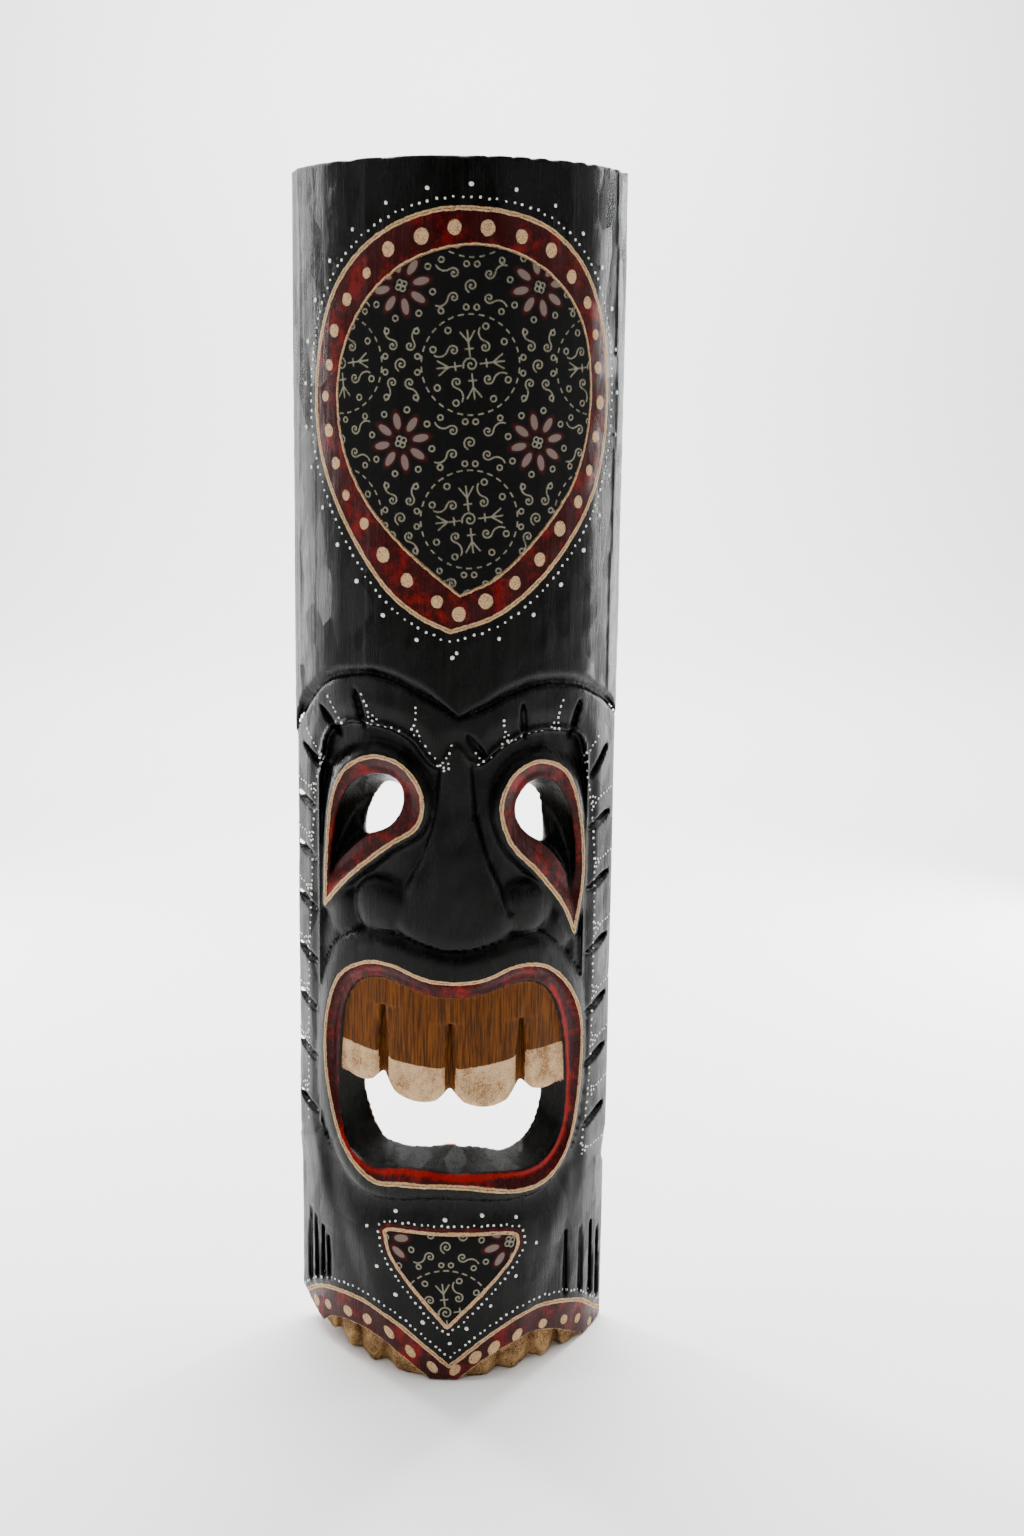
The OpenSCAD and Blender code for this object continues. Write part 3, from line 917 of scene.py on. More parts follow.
        # Short gouge cuts in the brow, the bands and the jaw.
        for a, b in d.brow_cuts:
            off, t = stroke_distance(a, b, s, z)
            w = 4.2 * np.sqrt(np.clip(4 * t * (1 - t), 0.12, 1))
            found = found + 5.5 * np.clip(1 - off / w, 0, 1)
        for rows, middle, slope in ((d.left_cuts, -150, -0.22), (d.right_cuts, 142, 0.24)):
            for level in rows:
                off, t = stroke_distance(
                    (middle - 17, level - 17 * slope), (middle + 17, level + 17 * slope), s, z
                )
                w = 4.8 * np.sqrt(np.clip(4 * t * (1 - t), 0.05, 1))
                found = found + 5.0 * np.clip(1 - off / w, 0, 1)
        for middle, foot_end, top_end in d.flutes:
            off, t = stroke_distance((middle, foot_end), (middle, top_end), s, z)
            w = 4.0 * np.sqrt(np.clip(1.06 - t, 0.03, 1))
            found = found + 5.0 * np.clip(1 - off / w, 0, 1)

        # The toes stand back under the painted band.
        low = d.height_of(d.foot_band_low, s)
        toes = 4.5 * ease(-0.3, 1.6, low - z)
        for middle in d.toe_cuts:
            width = 1.2 + 0.42 * np.maximum(low - z, 0)
            toes = toes + 9.0 * np.clip(1 - np.abs(s - middle) / width, 0, 1) * (z < low - 1)
        corner = 1.7 * np.maximum(2 - 0.36 * (s + 91) - z, 0) * (s < -85)
        edge = 0.9 * ease(150, 172, np.abs(s))
        return found - edge + toes * (np.abs(s) < 150) + np.minimum(corner, 14)


# ---------------------------------------------------------------- the carving


@dataclass
class Carving:
    """The carved and painted half log: one piece of wood."""

    log: Log
    drawing: FaceDrawing
    relief: Relief
    pitch: float = 1.9
    cloth_seat: float = 0.9
    chin_seat_in: float = 1.5
    forehead_spots: int = 31
    foot_spots: Points = (
        (-154, 18), (-139, 28), (-121, 34), (-96, 40), (-75, 41), (-54, 37), (-35, 24), (-16, 12), (3, 10),
        (20, 21), (36, 28), (57, 35), (82, 35), (106, 29), (124, 21), (144, 6),
    )
    seat_half_width: float = 17.25
    seat_floor_y: float = 39.0
    seat_low: float = 934.0
    seat_high: float = 990.25

    def wood(self) -> tuple[Array, Array]:
        """Works out the block of wood that is left, and wraps a mesh round it.

        Returns:
            The mesh's points and quads.
        """
        log, p = self.log, self.pitch
        margin = 2.3 * p
        low = np.array([-log.half_width - margin, log.crest_y - margin, -margin])
        high = np.array([log.half_width, log.back_y, log.height]) + margin
        size = np.ceil((high - low) / p).astype(int) + 1
        x = (low[0] + p * np.arange(size[0])).astype(np.float32)
        y = (low[1] + p * np.arange(size[1])).astype(np.float32)
        z = (low[2] + p * np.arange(size[2])).astype(np.float32)
        s_map, z_map = np.meshgrid(log.across(x), z.astype(float), indexing="ij")
        depth = self.relief.depth(s_map, z_map).astype(np.float32)
        d = self.drawing
        panel = near_curve(d.panel, s_map, z_map)
        depth = depth + (self.cloth_seat * ease(-0.4, 0.8, -panel)).astype(np.float32)
        chin = near_curve(d.chin, s_map, z_map)
        depth = depth + (self.cloth_seat * ease(-0.4, 0.8, -(chin + self.chin_seat_in))).astype(np.float32)

        radius = np.sqrt(x[:, None] ** 2 + (log.axis_y - y[None, :]) ** 2)[:, :, None]
        down = log.radius - radius
        body = depth[:, None, :] - down
        body = soft_most(body, (y - log.back_y)[None, :, None], 1.2)
        rough = 0.7 + 0.6 * waves(*np.meshgrid(x, y, indexing="ij"), 14, 11)
        ends = np.maximum(-z[None, None, :], z[None, None, :] - log.height + np.maximum(rough, 0)[:, :, None])
        body = soft_most(body, ends.astype(np.float32), 1.0)

        # The eyes and the mouth run through the wall, each narrowing from a lip below the face.
        for front, back, lip, bend in (
            (d.left_hole, d.left_back, 7, 1.35),
            (d.right_hole, d.right_back, 7, 1.35),
            (d.mouth_hole, d.mouth_back, 8, 1.0),
        ):
            behind = tuple((float(log.across(x_back)), z_back) for x_back, z_back in back)
            at_face = near_curve(front, s_map, z_map)[:, None, :].astype(np.float32)
            at_back = near_curve(behind, s_map, z_map)[:, None, :].astype(np.float32)
            t = np.clip((down - lip) / (log.wall - lip), 0, 1) ** bend
            body = soft_most(body, -(at_face * (1 - t) + at_back * t), 0.8)

        # The teeth hang in the mouth, crowned, with a V cut between each two.
        row = near_curve(d.teeth, s_map, z_map, 3)
        back_off = self.relief.tooth_depth + 3.0 * np.clip(1 + row / 9, 0, 1) ** 2
        for middle, tip in d.tooth_gaps:
            half = 1.4 * (z_map < tip) + np.clip((tip - z_map) / (tip - 245), 0, 1.1) * 8.2
            cut = 9.0 * np.clip(1.15 - np.abs(s_map - middle) / np.maximum(half, 0.1), 0, 1)
            back_off = back_off + cut * (z_map < tip)
            back_off = back_off + 1.2 * np.exp(-(((s_map - middle) / 14) ** 2)) * (z_map < tip)
        inside = near_curve(d.mouth, s_map, z_map)
        row = np.maximum(row, inside + 5)[:, None, :].astype(np.float32)
        tooth = soft_most(back_off[:, None, :].astype(np.float32) - down, row, 2.0)
        tooth = np.maximum(tooth, down - log.wall - 1)
        body = np.minimum(body, tooth)

        # The hollow, with the gouge's flutes.
        angle = np.arctan2(x[:, None], log.axis_y - y[None, :])[:, :, None]
        inner_r = log.radius - log.wall
        flute = 0.9 * np.abs(np.sin(angle * 11 + 0.8 * np.sin(z / 47.0)))
        flute = flute + 0.5 * np.sin(z / 23.0 + 5 * np.sin(angle * 7))
        bowl = (radius + flute - 0.9 - inner_r).astype(np.float32)
        half_w = math.sqrt(inner_r**2 - (log.radius - log.depth) ** 2)
        c = log.hollow_corner
        bottom, top = log.foot_block, log.height - log.top_block
        qx = np.maximum(np.abs(x) - (half_w - c), 0)[:, None]
        qz = np.maximum(np.abs(z - (bottom + top) / 2) - ((top - bottom) / 2 - c), 0)[None, :]
        plan = (np.hypot(qx, qz) - c).astype(np.float32)
        hollow = soft_most(bowl, plan[:, None, :], 4.0)
        body = soft_most(body, -hollow, 1.0)

        # The hanger's seat.
        seat = (np.abs(x) - self.seat_half_width)[:, None, None]
        seat = np.maximum(seat, (self.seat_floor_y - y)[None, :, None])
        seat = np.maximum(seat, np.maximum(self.seat_low - z, z - self.seat_high)[None, None, :])
        body = np.maximum(body, -seat)
        return wrap_field(body, low.astype(float), p)

    def measure(self, made, points: Array) -> None:
        """Stores on the mesh how far each corner is from the painted lines, in millimetres."""
        log, d = self.log, self.drawing
        x, y, z = points.T
        s = log.across(x)
        down = log.radius - np.hypot(x, log.axis_y - y)
        forehead, left, right, mouth, panel, left_hole, right_hole, mouth_hole, chin = (
            near_curve(outline, s, z, 5)
            for outline in (d.forehead, d.left_eye, d.right_eye, d.mouth, d.panel, d.left_hole, d.right_hole,
                            d.mouth_hole, d.chin)
        )
        by_chin = np.abs(chin) < 20
        line = np.minimum.reduce([forehead, left, right, mouth])
        line = np.where(by_chin, np.minimum(np.abs(chin), np.abs(line)), line)
        line = np.where(z < 80, np.maximum(line, np.where(by_chin, np.abs(chin), 30)), line)
        # On the walls of a hole the paint is black, whatever the outline says.
        inner = np.minimum.reduce([panel, left_hole, right_hole, mouth_hole])
        inner = np.where((down > 11) & (z < 620), np.minimum(inner, 9 - down), inner)
        # The foot's band, measured square to its edges.
        ways = np.arange(-190, 190.0)
        band = []
        for edge in (d.foot_band_top, d.foot_band_low):
            slope = np.interp(s, ways, np.gradient(d.height_of(edge, ways)))
            band.append((z - d.height_of(edge, s)) / np.hypot(1, slope))
        is_tooth = (down > 11) & (down < 30) & (z > 228) & (z < 350) & (np.abs(s) < 112) & (mouth_hole < 3)
        is_tooth &= near_curve(d.teeth, s, z, 3) < 1.5
        # Above these heights the upper part of each tooth is painted darker, as painted shade under the lip,
        # and below them a paler band is painted as a lit facet.
        edges = np.interp(s, [-110, -61, -59, -4, -2, 56, 58, 110], [283, 279, 276, 272, 271, 279, 282, 281])
        # Within 4.5 mm of each cut between two teeth the tooth is painted dark all the way down, as painted
        # shade in the V cut.
        grooves = np.minimum.reduce([np.abs(s - middle) for middle, _ in d.tooth_gaps])
        for name, values in (
            ("line", line),
            ("vivid", np.exp(-(((mouth_hole - 2.2) / 2.2) ** 2)) * ((s > 84) | (z < 205)) * (down < 9)),
            ("inner", np.where(by_chin, 30, inner)),
            ("band_up", band[0]),
            ("band_low", band[1]),
            ("toes", np.where(z < 45, -band[1] - 0.6, -30)),
            ("cloth_lap", np.where(z < 140, np.abs(chin + 1.0) - 3.4 - 2.2 * (z > 112), 30)),
            ("spots", self.spot_distance(s, z)),
            ("teeth", is_tooth.astype(float)),
            ("stain_and_tooth_shade", np.where(grooves < 4.5, 5.0, z - edges)),
            ("raw", np.maximum.reduce([y - log.back_y + 1.2, down - log.wall + 1.0, 1.5 - z])),
        ):
            give_values(made, name, values)

    def spot_distance(self, s: Array, z: Array) -> Array:
        """Distance to the nearest round cut through the red paint, negative inside it."""
        found = np.full(np.shape(s), 30.0)
        outer, inner = curve_through(self.drawing.forehead, 12), curve_through(self.drawing.panel, 12)
        gaps = np.linalg.norm(np.roll(outer, -1, 0) - outer, axis=1)
        run = np.concatenate([[0], np.cumsum(gaps)])
        closed = np.vstack([outer, outer[:1]])
        for i in range(self.forehead_spots):
            at = run[-1] * (i + 0.5) / self.forehead_spots
            a = np.array([np.interp(at, run, closed[:, k]) for k in (0, 1)])
            b = inner[np.argmin(np.linalg.norm(inner - a, axis=1))]
            m = a + (b - a) * (0.5 + 0.05 * math.sin(i * 2.4))
            size = 4.2 + 0.5 * math.sin(i * 1.7) + 0.9 * (m[1] < 720) + 1.0 * (m[1] > 915)
            size = min(size, 0.27 * float(np.linalg.norm(b - a)))
            found = np.minimum(found, np.hypot((s - m[0]), (z - m[1]) / 1.12) - size)
        for a, b in self.foot_spots:
            lean = 0.55 if -60 < a < -5 else (-0.4 if 0 < a < 60 else 0.0)
            ds, dz = s - a, z - b
            size = 4.4 + 0.5 * math.sin(a * 1.3) + 0.7 * (abs(a) < 60)
            found = np.minimum(found, np.hypot(ds, dz + lean * ds) - size)
        return found

    def build(self, paint: bpy.types.Material, raw: bpy.types.Material):
        """Makes the carving and dresses it.

        Args:
            paint: The finish of the face and sides.
            raw: The finish of the back and the hollow.

        Returns:
            The carved piece.
        """
        points, quads = self.wood()
        crisp = points[:, 1] > self.log.back_y - 5
        points = calm(points, quads, 3, ~crisp)
        made = mesh_object("carved_log", points, quads)
        x, y, z = points.T
        self.measure(made, points)
        made.data.materials.append(paint)
        made.data.materials.append(raw)
        down = self.log.radius - np.hypot(x, self.log.axis_y - y)
        back = (y > self.log.back_y - 1.0) | (down > self.log.wall - 2.0) | (z < 0.6)
        of_face = back[quads].all(axis=1)
        if len(made.data.polygons) == len(quads):
            made.data.polygons.foreach_set("material_index", of_face.astype(np.int32))
        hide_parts("mask_body")
        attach(made, "mask")
        LOG.info("carved_log: %d points, %d faces", len(points), len(quads))
        return made


# ---------------------------------------------------------------- cloth


@dataclass
class BatikPrint:
    """A generic wax-resist pattern: dashed rounds with curls, flowers, rings and spirals."""

    across: float = 108.0
    up: float = 118.0
    line: float = 0.55

    def ring(self, s: Array, z: Array, at: tuple, radius: float) -> Array:
        """Distance to a drawn ring's line."""
        return np.abs(np.hypot(s - at[0], z - at[1]) - radius)

    def strokes(self, at: tuple, turn: float, size: float, kind: Stroke) -> Array:
        """The points of one drawn spiral, or of a curl with a tail, as a run of short lines."""
        t = np.linspace(0, 1, 16)
        if kind is Stroke.SPIRAL:
            a, r = turn + t * 1.5 * math.tau, size * (0.1 + 0.9 * t)
            p = np.stack([r * np.cos(a), r * np.sin(a)], 1)
        else:
            a, r = t * 1.3 * math.tau, size * (0.05 + 0.36 * t)
            head = np.stack([r * np.cos(a), r * np.sin(a)], 1)
            b = a[-1] + math.pi - np.linspace(0.15, 1.9, 9)
            hub = head[-1] * 2.6
            reach = float(np.linalg.norm(head[-1])) * 1.6
            tail = hub + reach * np.stack([np.cos(b), np.sin(b)], 1)
            p = np.vstack([head, tail])
            c, q = math.cos(turn), math.sin(turn)
            p = p @ np.array([[c, q], [-q, c]])
        return p + np.array(at)

    def along(self, s: Array, z: Array, run: Array) -> Array:
        """Distance to a run of short lines."""
        best = np.full(np.shape(s), 99.0)
        low, high = run.min(0) - 6, run.max(0) + 6
        close = (s > low[0]) & (s < high[0]) & (z > low[1]) & (z < high[1])
        if close.any():
            sc, zc, b = s[close], z[close], np.full(close.sum(), 99.0)
            for a, c in zip(run[:-1], run[1:]):
                b = np.minimum(b, stroke_distance(tuple(a), tuple(c), sc, zc)[0])
            best[close] = b
        return best

    def draw(self, s: Array, z: Array, origin: tuple) -> tuple[Array, Array]:
        """Draws the print on places of the cloth.

        Args:
            s: Places across the cloth.
            z: Places up it.
            origin: Where one dashed round has its middle.

        Returns:
            The distances to the drawn lines and to the flowers' petals, negative inside them.
        """
        ds = np.mod(s - origin[0] + self.across / 2, self.across) - self.across / 2
        dz = np.mod(z - origin[1] + self.up / 2, self.up) - self.up / 2
        lines = np.full(np.shape(s), 99.0)
        angle = np.arctan2(dz, ds)
        dashes = np.mod(angle / math.tau * 30, 1.0)
        r = np.hypot(ds, dz)
        dashed = np.abs(r - 38) + 3.0 * np.clip(np.abs(dashes - 0.5) - 0.3, 0, 1) * 8
        lines = np.minimum(lines, dashed)
        lines = np.minimum(lines, self.along(ds, dz, self.strokes((0, 0), 0.4, 6.2, Stroke.SPIRAL)))
        arm = (((7, 0), (26, 0)), ((17, 0), (25, 5.5)), ((17, 0), (25, -5.5)), ((12, -3), (12, 3)))
        for k in range(4):
            a = k * math.pi / 2 + 0.12
            turn = np.array([[math.cos(a), math.sin(a)], [-math.sin(a), math.cos(a)]])
            for ends in arm:
                lines = np.minimum(lines, self.along(ds, dz, np.array(ends) @ turn))
            b = a + math.pi / 4
            curl = self.strokes((17 * math.cos(b), 17 * math.sin(b)), b - 1.4, 10.5, Stroke.CURL)
            lines = np.minimum(lines, self.along(ds, dz, curl))
            for off in (-0.3, 0.3):
                at = (31 * math.cos(b + off), 31 * math.sin(b + off))
                lines = np.minimum(lines, self.ring(ds, dz, at, 2.2))
        petals = np.full(np.shape(s), 99.0)
        for fs, fz in ((54, 59), (-54, 59), (54, -59), (-54, -59)):
            u, v = ds - fs, dz - fz
            for k in range(8):
                a = k * math.pi / 4 + 0.2
                c, q = math.cos(a), math.sin(a)
                p, w = (u * c + v * q) - 16.0, -u * q + v * c
                petals = np.minimum(petals, (np.hypot(p / 6.2, w / 2.9) - 1) * 3.4)
                b = a + math.pi / 8
                lines = np.minimum(lines, self.ring(u, v, (25 * math.cos(b), 25 * math.sin(b)), 2.1))
            for k in range(4):
                a = k * math.pi / 2 + 0.5
                lines = np.minimum(lines, self.ring(u, v, (2.6 * math.cos(a), 2.6 * math.sin(a)), 2.0))
        for cs, cz, tall in ((54, 0, 1), (-54, 0, 1), (0, 59, 0), (0, -59, 0)):
            u, v = ds - cs, dz - cz
            lines = np.minimum(lines, self.along(u, v, self.strokes((0, 0), 1.2, 5.4, Stroke.SPIRAL)))
            for i, j in ((1, 1), (-1, 1), (-1, -1), (1, -1)):
                at = (7.0 * i, 14.0 * j) if tall else (13.5 * i, 9.0 * j)
                way = math.atan2(j, 0.45 * i) if tall else math.atan2(0.45 * j, i)
                lines = np.minimum(lines, self.along(u, v, self.strokes(at, way - 2.34, 10.5, Stroke.CURL)))
                off = (13.0 * i, 6.0 * j) if tall else (4.0 * i, 16.0 * j)
                lines = np.minimum(lines, self.ring(u, v, off, 2.0))
                off = (12.0 * i, 25.0 * j) if tall else (23.0 * i, 19.0 * j)
                lines = np.minimum(lines, self.ring(u, v, off, 2.0))
        return lines - self.line, petals


@dataclass
class ClothPanel:
    """A piece of printed cloth, cut to its panel and glued into the seat."""

    name: str
    node: str
    outline: Points
    log: Log
    relief: Relief
    pull_in: float
    rings: int = 120
    spokes: int = 560
    above_seat: float = 0.15
    origin: tuple = (9.0, 845.0)

    def build(self, finish: bpy.types.Material):
        """Makes the cloth as a fan of fine rings, and hides the CAD node that it stands in for.

        Args:
            finish: The printed cotton.

        Returns:
            The cloth.
        """
        edge = curve_through(self.outline, 10)
        gaps = np.linalg.norm(np.roll(edge, -1, 0) - edge, axis=1)
        run = np.concatenate([[0], np.cumsum(gaps)])
        closed = np.vstack([edge, edge[:1]])
        at = run[-1] * np.arange(self.spokes) / self.spokes
        rim = np.stack([np.interp(at, run, closed[:, k]) for k in (0, 1)], 1)
        middle = (rim.min(0) + rim.max(0)) / 2
        out = rim - middle
        rim = middle + out * (1 - self.pull_in / np.linalg.norm(out, axis=1))[:, None]
        t = (np.arange(1, self.rings + 1) / self.rings)[:, None, None]
        flat = np.vstack([middle[None, :], (middle + (rim - middle)[None, :, :] * t).reshape(-1, 2)])
        s, z = flat.T
        points = self.log.place(s, z, self.relief.depth(s, z) + self.above_seat)
        first = 1 + np.arange(self.spokes)
        following = 1 + (np.arange(self.spokes) + 1) % self.spokes
        faces = [[0, int(a), int(b)] for a, b in zip(first, following)]
        for r in range(self.rings - 1):
            a, b = first + r * self.spokes, following + r * self.spokes
            faces += np.stack([a, a + self.spokes, b + self.spokes, b], 1).tolist()
        made = mesh_object(self.name, points, faces)
        lines, petals = BatikPrint().draw(s, z, self.origin)
        give_values(made, "print_lines", lines)
        give_values(made, "print_petals", petals)
        made.data.materials.append(finish)
        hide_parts(self.node)
        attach(made, "mask")
        return made


# ---------------------------------------------------------------- dots of paint


@dataclass
class PaintDots:
    """The rows of white drops round the panels, along the brow and down the bands."""

    log: Log
    drawing: FaceDrawing
    relief: Relief
    small: float = 0.98
    large: float = 1.65
    furthest: float = 171.0
    round_chin: Points = (
        (-49, 144), (-6, 143), (25, 145), (54, 139), (74, 115), (-75, 126), (-66, 95), (-48, 73), (-24, 52),
        (12, 48), (55, 89), (33, 67), (-2, 34),
    )
    left_row: Points = (
        (-151, 196), (-149, 280), (-147, 350), (-142, 410), (-139, 460), (-134, 500), (-124, 522),
        (-101, 547), (-85, 556), (-61, 560), (-40, 556), (-26, 547), (-17, 537), (-9, 527),
    )
    right_row: Points = (
        (124, 184), (131, 220), (135, 270), (136, 340), (136, 407), (132, 464), (126, 496), (118, 524),
        (102, 543), (83, 553), (60, 554), (42, 547), (28, 536),
    )
    sprigs: tuple = (
        ((-124, 522), (-151, 545)), ((-96, 551), (-117, 577)), ((-70, 563), (-82, 588)),
        ((-34, 555), (-32, 579)), ((-10, 530), (-3, 549)), ((-138, 494), (-168, 498)),
        ((-142, 452), (-171, 456)), ((-144, 405), (-172, 411)), ((-149, 357), (-171, 360)),
        ((-151, 314), (-171, 317)), ((-152, 269), (-173, 271)), ((-153, 224), (-174, 225)),
        ((22, 530), (15, 543)), ((41, 550), (37, 571)), ((84, 557), (92, 581)), ((119, 526), (138, 542)),
        ((131, 486), (168, 493)), ((137, 432), (173, 438)), ((139, 374), (178, 378)),
        ((138, 318), (176, 322)), ((138, 274), (172, 277)), ((138, 228), (168, 232)),
        ((126, 178), (166, 174)),
    )
    spots: list = field(default_factory=list)

    def drop(self, s: float, z: float, size: float) -> None:
        """Sets down one drop, a little off its place, as a hand does."""
        n = len(self.spots)
        self.spots.append(
            (s + 0.5 * math.sin(n * 2.1), z + 0.5 * math.sin(n * 3.7), size * (1 + 0.16 * math.sin(n * 5.3)))
        )

    def row(self, points: Array, pitch: float, size: float, closed: bool = False) -> None:
        """Sets drops along a line at an even pitch."""
        if closed:
            points = np.vstack([points, points[:1]])
        gaps = np.linalg.norm(np.diff(points, axis=0), axis=1)
        run = np.concatenate([[0], np.cumsum(gaps)])
        count = max(int(round(run[-1] / pitch)), 1)
        for i in range(count + (0 if closed else 1)):
            at = run[-1] * i / count
            self.drop(np.interp(at, run, points[:, 0]), np.interp(at, run, points[:, 1]), size)

    def around(self, outline: Points, off: float, pitch: float, size: float) -> None:
        """Sets drops all round an outline, at a distance outside it."""
        edge = curve_through(outline, 8)
        side = np.roll(edge, -1, 0) - np.roll(edge, 1, 0)
        normal = np.stack([side[:, 1], -side[:, 0]], 1)
        normal /= np.maximum(np.linalg.norm(normal, axis=1), 1e-6)[:, None]
        if float(np.mean(outline_distance(edge, *(edge + normal * 2).T))) < 0:
            normal = -normal
        moved = edge + normal * off
        keep = outline_distance(edge, *moved.T) > off * 0.9
        self.row(moved[keep], pitch, size, closed=True)

    def sprig(self, base: tuple, tip: tuple) -> None:
        """Sets a sprig: three drops side by side, then two, then single ones out to its tip."""
        a, b = np.array(base, float), np.array(tip, float)
        length = float(np.linalg.norm(b - a))
        u = (b - a) / length
        v = np.array([-u[1], u[0]])
        for k, width in ((0, (-4.2, 0, 4.2)), (1, (-2.1, 2.1)), (2, (0,))):
            for w in width:
                self.drop(*(a + u * 4.0 * k + v * w), self.small)
        for k in range(1, int((length - 8) / 5.0) + 1):
            self.drop(*(a + u * (8 + 5.0 * k)), self.small)

    def lay_out(self) -> None:
        """Sets every row and sprig in its place."""
        d = self.drawing
        self.around(d.forehead, 8.0, 6.6, self.small)
        self.around(d.forehead, 17.5, 34.0, self.large)
        self.drop(-3, 619, self.large)
        self.around(d.chin, 6.5, 5.6, self.small)
        for s, z in self.round_chin:
            self.drop(s, z, self.large)
        top = curve_through(d.foot_band_top, 6, closed=False)
        top = top[(top[:, 0] > -168) & (top[:, 0] < 163)] + [0, 8.5]
        self.row(top, 5.4, self.small)
        for line in (self.left_row, self.right_row):
            self.row(curve_through(line, 6, closed=False), 6.2, self.small)
        for base, tip in self.sprigs:
            self.sprig(base, tip)

    def build(self, finish: bpy.types.Material):
        """Makes all the drops as one piece.

        Args:
            finish: The white paint.

        Returns:
            The piece.
        """
        self.lay_out()
        spots = np.array(self.spots)
        in_reach = np.abs(spots[:, 0]) < self.furthest
        spots = spots[(self.relief.depth(spots[:, 0], spots[:, 1]) < 9) & in_reach]
        s, z, size = spots.T
        step = 0.8
        middle = self.log.place(s, z, self.relief.depth(s, z))
        du = self.log.place(s + step, z, self.relief.depth(s + step, z)) - middle
        dv = self.log.place(s, z + step, self.relief.depth(s, z + step)) - middle
        du /= np.linalg.norm(du, axis=1)[:, None]
        dv /= np.linalg.norm(dv, axis=1)[:, None]
        out = np.cross(du, dv)
        out /= np.linalg.norm(out, axis=1)[:, None]
        out *= np.where((out * (middle - [0, self.log.axis_y, 0]) * [1, 1, 0]).sum(1) < 0, -1, 1)[:, None]
        points, faces = [], []
        around = 10
        for i in range(len(spots)):
            base = len(points)
            u = du[i]
            v = np.cross(out[i], u)
            for radius, height in ((1.0, -0.9), (1.0, 0.12), (0.72, 0.38)):
                for k in range(around):
                    a = math.tau * k / around
                    wide = size[i] * radius * (1 + 0.08 * math.sin(a * 2 + i))
                    rise = out[i] * height * size[i] * 0.62
                    points.append(middle[i] + wide * (math.cos(a) * u + math.sin(a) * v) + rise)
            points.append(middle[i] + out[i] * size[i] * 0.33)
            for ring in range(2):
                for k in range(around):
                    a, b = base + ring * around + k, base + ring * around + (k + 1) % around
                    faces.append([a, b, b + around, a + around])
            for k in range(around):
                faces.append([base + 2 * around + k, base + 2 * around + (k + 1) % around, base + 3 * around])
        made = mesh_object("paint_dots", np.array(points), faces)
        made.data.materials.append(finish)
        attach(made, "mask")
        LOG.info("paint_dots: %d drops", len(spots))
        return made


# ---------------------------------------------------------------- hanger and studio


@dataclass
class RingHanger:
    """The strap, its two screws and the ring on the back, which keep their CAD shapes."""

    strap: ZincSteel = ZincSteel("zinc_plated_strap_steel")
    ring: ZincSteel = ZincSteel("zinc_plated_ring_wire", light="#d2d6d8", dark="#a2a8ab", roughness=0.26)
    screws: ZincSteel = ZincSteel("zinc_plated_screw_steel", light="#b4b9bc", dark="#7d8387", roughness=0.34)

    def build(self, nodes: dict) -> None:
        """Dresses the three CAD nodes."""
        pairs = (("hanger_strap", self.strap), ("hanger_ring", self.ring), ("hanger_screws", self.screws))
        for node, finish in pairs:
            made = nodes[node]
            made.data.materials.clear()
            made.data.materials.append(finish.build())
            LOG.info("%s: %s", node, finish.name)


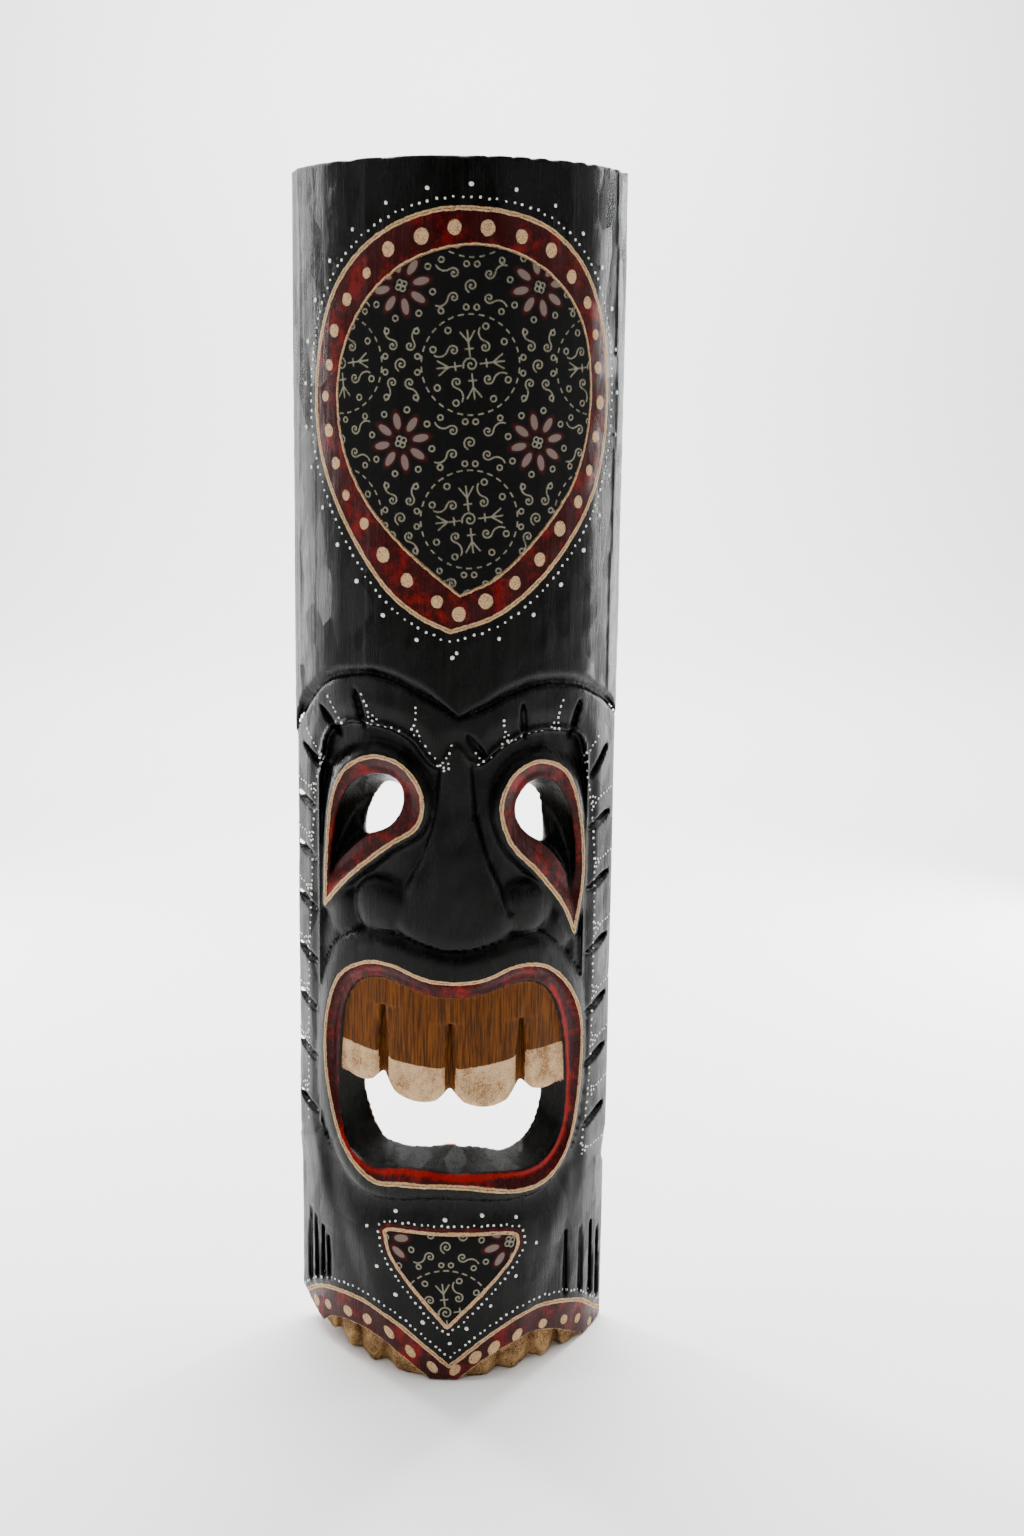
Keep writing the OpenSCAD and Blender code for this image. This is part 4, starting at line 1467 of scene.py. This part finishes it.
@dataclass
class Studio:
    """A pale floor, soft lights at both sides and the camera."""

    floor_size: float = 12.0
    bend_radius: float = 1.2
    backdrop_height: float = 6.0
    camera_at: tuple = (0.0, -1.142, 0.835)
    look_down: float = 8.0
    roll: float = -0.45
    lens: float = 33.54
    shift: tuple = (0.0345, -0.123)
    # Each soft box's name, place, aim, width and height in metres, and power in watts.
    lights: tuple = (
        ("side_left_near", (-1.29, -0.14, 0.9), (0, 0, 0.55), (0.1, 1.5), 6),
        ("side_left_far", (-1.02, 0.8, 0.9), (0, 0, 0.55), (0.16, 1.5), 23),
        ("side_right_near", (1.28, 0.23, 0.9), (0, 0, 0.55), (0.1, 1.5), 6),
        ("side_right_far", (0.93, 0.9, 0.9), (0, 0, 0.55), (0.16, 1.5), 23),
        ("front_left", (-1.3, -1.5, 1.5), (0, 0, 0.5), (0.22, 0.7), 5),
        ("front_right", (1.4, -1.4, 1.3), (0, 0, 0.5), (0.22, 0.9), 6),
        ("over_front", (-0.3, -1.2, 2.4), (0, 0, 0.5), (0.4, 0.2), 6),
        ("over_floor", (0, 1.3, 3.4), (0, 1.3, 0), (3.4, 3.0), 400),
        ("on_backdrop", (0, 1.6, 2.6), (0, 4.0, 1.2), (3.0, 0.6), 160),
    )

    def floor(self):
        """Makes the floor, which sweeps up behind."""
        half = self.floor_size / 2
        bend_at, bend = half * 0.5, self.bend_radius
        rows = [(-half, 0.0), (bend_at, 0.0)]
        for a in np.linspace(0.1, math.pi / 2, 12):
            rows.append((bend_at + bend * math.sin(a), bend * (1 - math.cos(a))))
        rows.append((bend_at + bend, self.backdrop_height))
        points, faces = [], []
        for y, z in rows:
            points += [(-half / MM, y / MM, z / MM), (half / MM, y / MM, z / MM)]
        for i in range(len(rows) - 1):
            faces.append([2 * i, 2 * i + 1, 2 * i + 3, 2 * i + 2])
        made = mesh_object("studio_floor", np.array(points), faces)
        paper, t = new_material("matt_white_paper")
        place = add_node(t, "TexCoord", out="Object")
        fibre = add_node(t, "TexNoise", {"Vector": place, "Scale": 300.0}, "Fac")
        ramp = add_node(t, "ValToRGB", {"Fac": fibre}, stops=((0.0, "#fbfbfa"), (1.0, "#ffffff")))
        surface = add_node(t, "BsdfPrincipled", {"Base Color": ramp, "Roughness": 0.9})
        add_node(t, "OutputMaterial", {"Surface": surface})
        made.data.materials.append(paper)

    def light(self, name: str, at: tuple, aim: tuple, size: tuple, power: float) -> None:
        """Hangs one soft box."""
        data = bpy.data.lights.new(name, "AREA")
        data.shape = "RECTANGLE"
        data.size, data.size_y = size
        data.energy = power
        made = bpy.data.objects.new(name, data)
        made.location = at
        made.rotation_euler = (Vector(aim) - Vector(at)).to_track_quat("-Z", "Y").to_euler()
        bpy.context.scene.collection.objects.link(made)

    def build(self) -> None:
        """Sets up the floor, the lights, the room's own light and the camera."""
        self.floor()
        for soft_box in self.lights:
            self.light(*soft_box)
        world = bpy.data.worlds.new("white_room")
        bpy.context.scene.world = world
        world.use_nodes = True
        t = world.node_tree
        t.nodes.clear()
        # The room is pale where the camera sees past the floor, and adds only a little light.
        seen = add_node(t, "LightPath", out="Is Camera Ray")
        strength = add_node(t, "MapRange", {"Value": seen, "To Min": 0.05, "To Max": 1.6})
        sky = add_node(t, "Background", {"Color": (1, 1, 1, 1), "Strength": strength})
        add_node(t, "OutputWorld", {"Surface": sky})
        data = bpy.data.cameras.new("camera")
        data.lens = self.lens
        data.sensor_width = 36.0
        data.shift_x, data.shift_y = self.shift
        data.clip_end = 50
        made = bpy.data.objects.new("camera", data)
        made.location = self.camera_at
        made.rotation_euler = (math.radians(90 - self.look_down), math.radians(self.roll), 0)
        bpy.context.scene.collection.objects.link(made)
        bpy.context.scene.camera = made


def main() -> None:
    """Builds the mask piece by piece."""
    logging.basicConfig(level=logging.INFO, format="%(name)s %(message)s")
    log, drawing = Log(), FaceDrawing()
    relief = Relief(log, drawing)
    pitch = 1.7
    Carving(log, drawing, relief, pitch=pitch).build(PaintedAlbesia().build(), RawAlbesia().build())
    cotton = BatikCotton().build()
    ClothPanel("forehead_print", "forehead_cloth", drawing.panel, log, relief, 0.6).build(cotton)
    ClothPanel(
        "chin_print", "chin_cloth", drawing.chin, log, relief, 1.5, rings=60, spokes=320, origin=(-5.0, 62.0)
    ).build(cotton)
    PaintDots(log, drawing, relief).build(DotPaint().build())
    RingHanger().build(frame["nodes"])
    Studio().build()


if __name__ == "__main__":
    main()
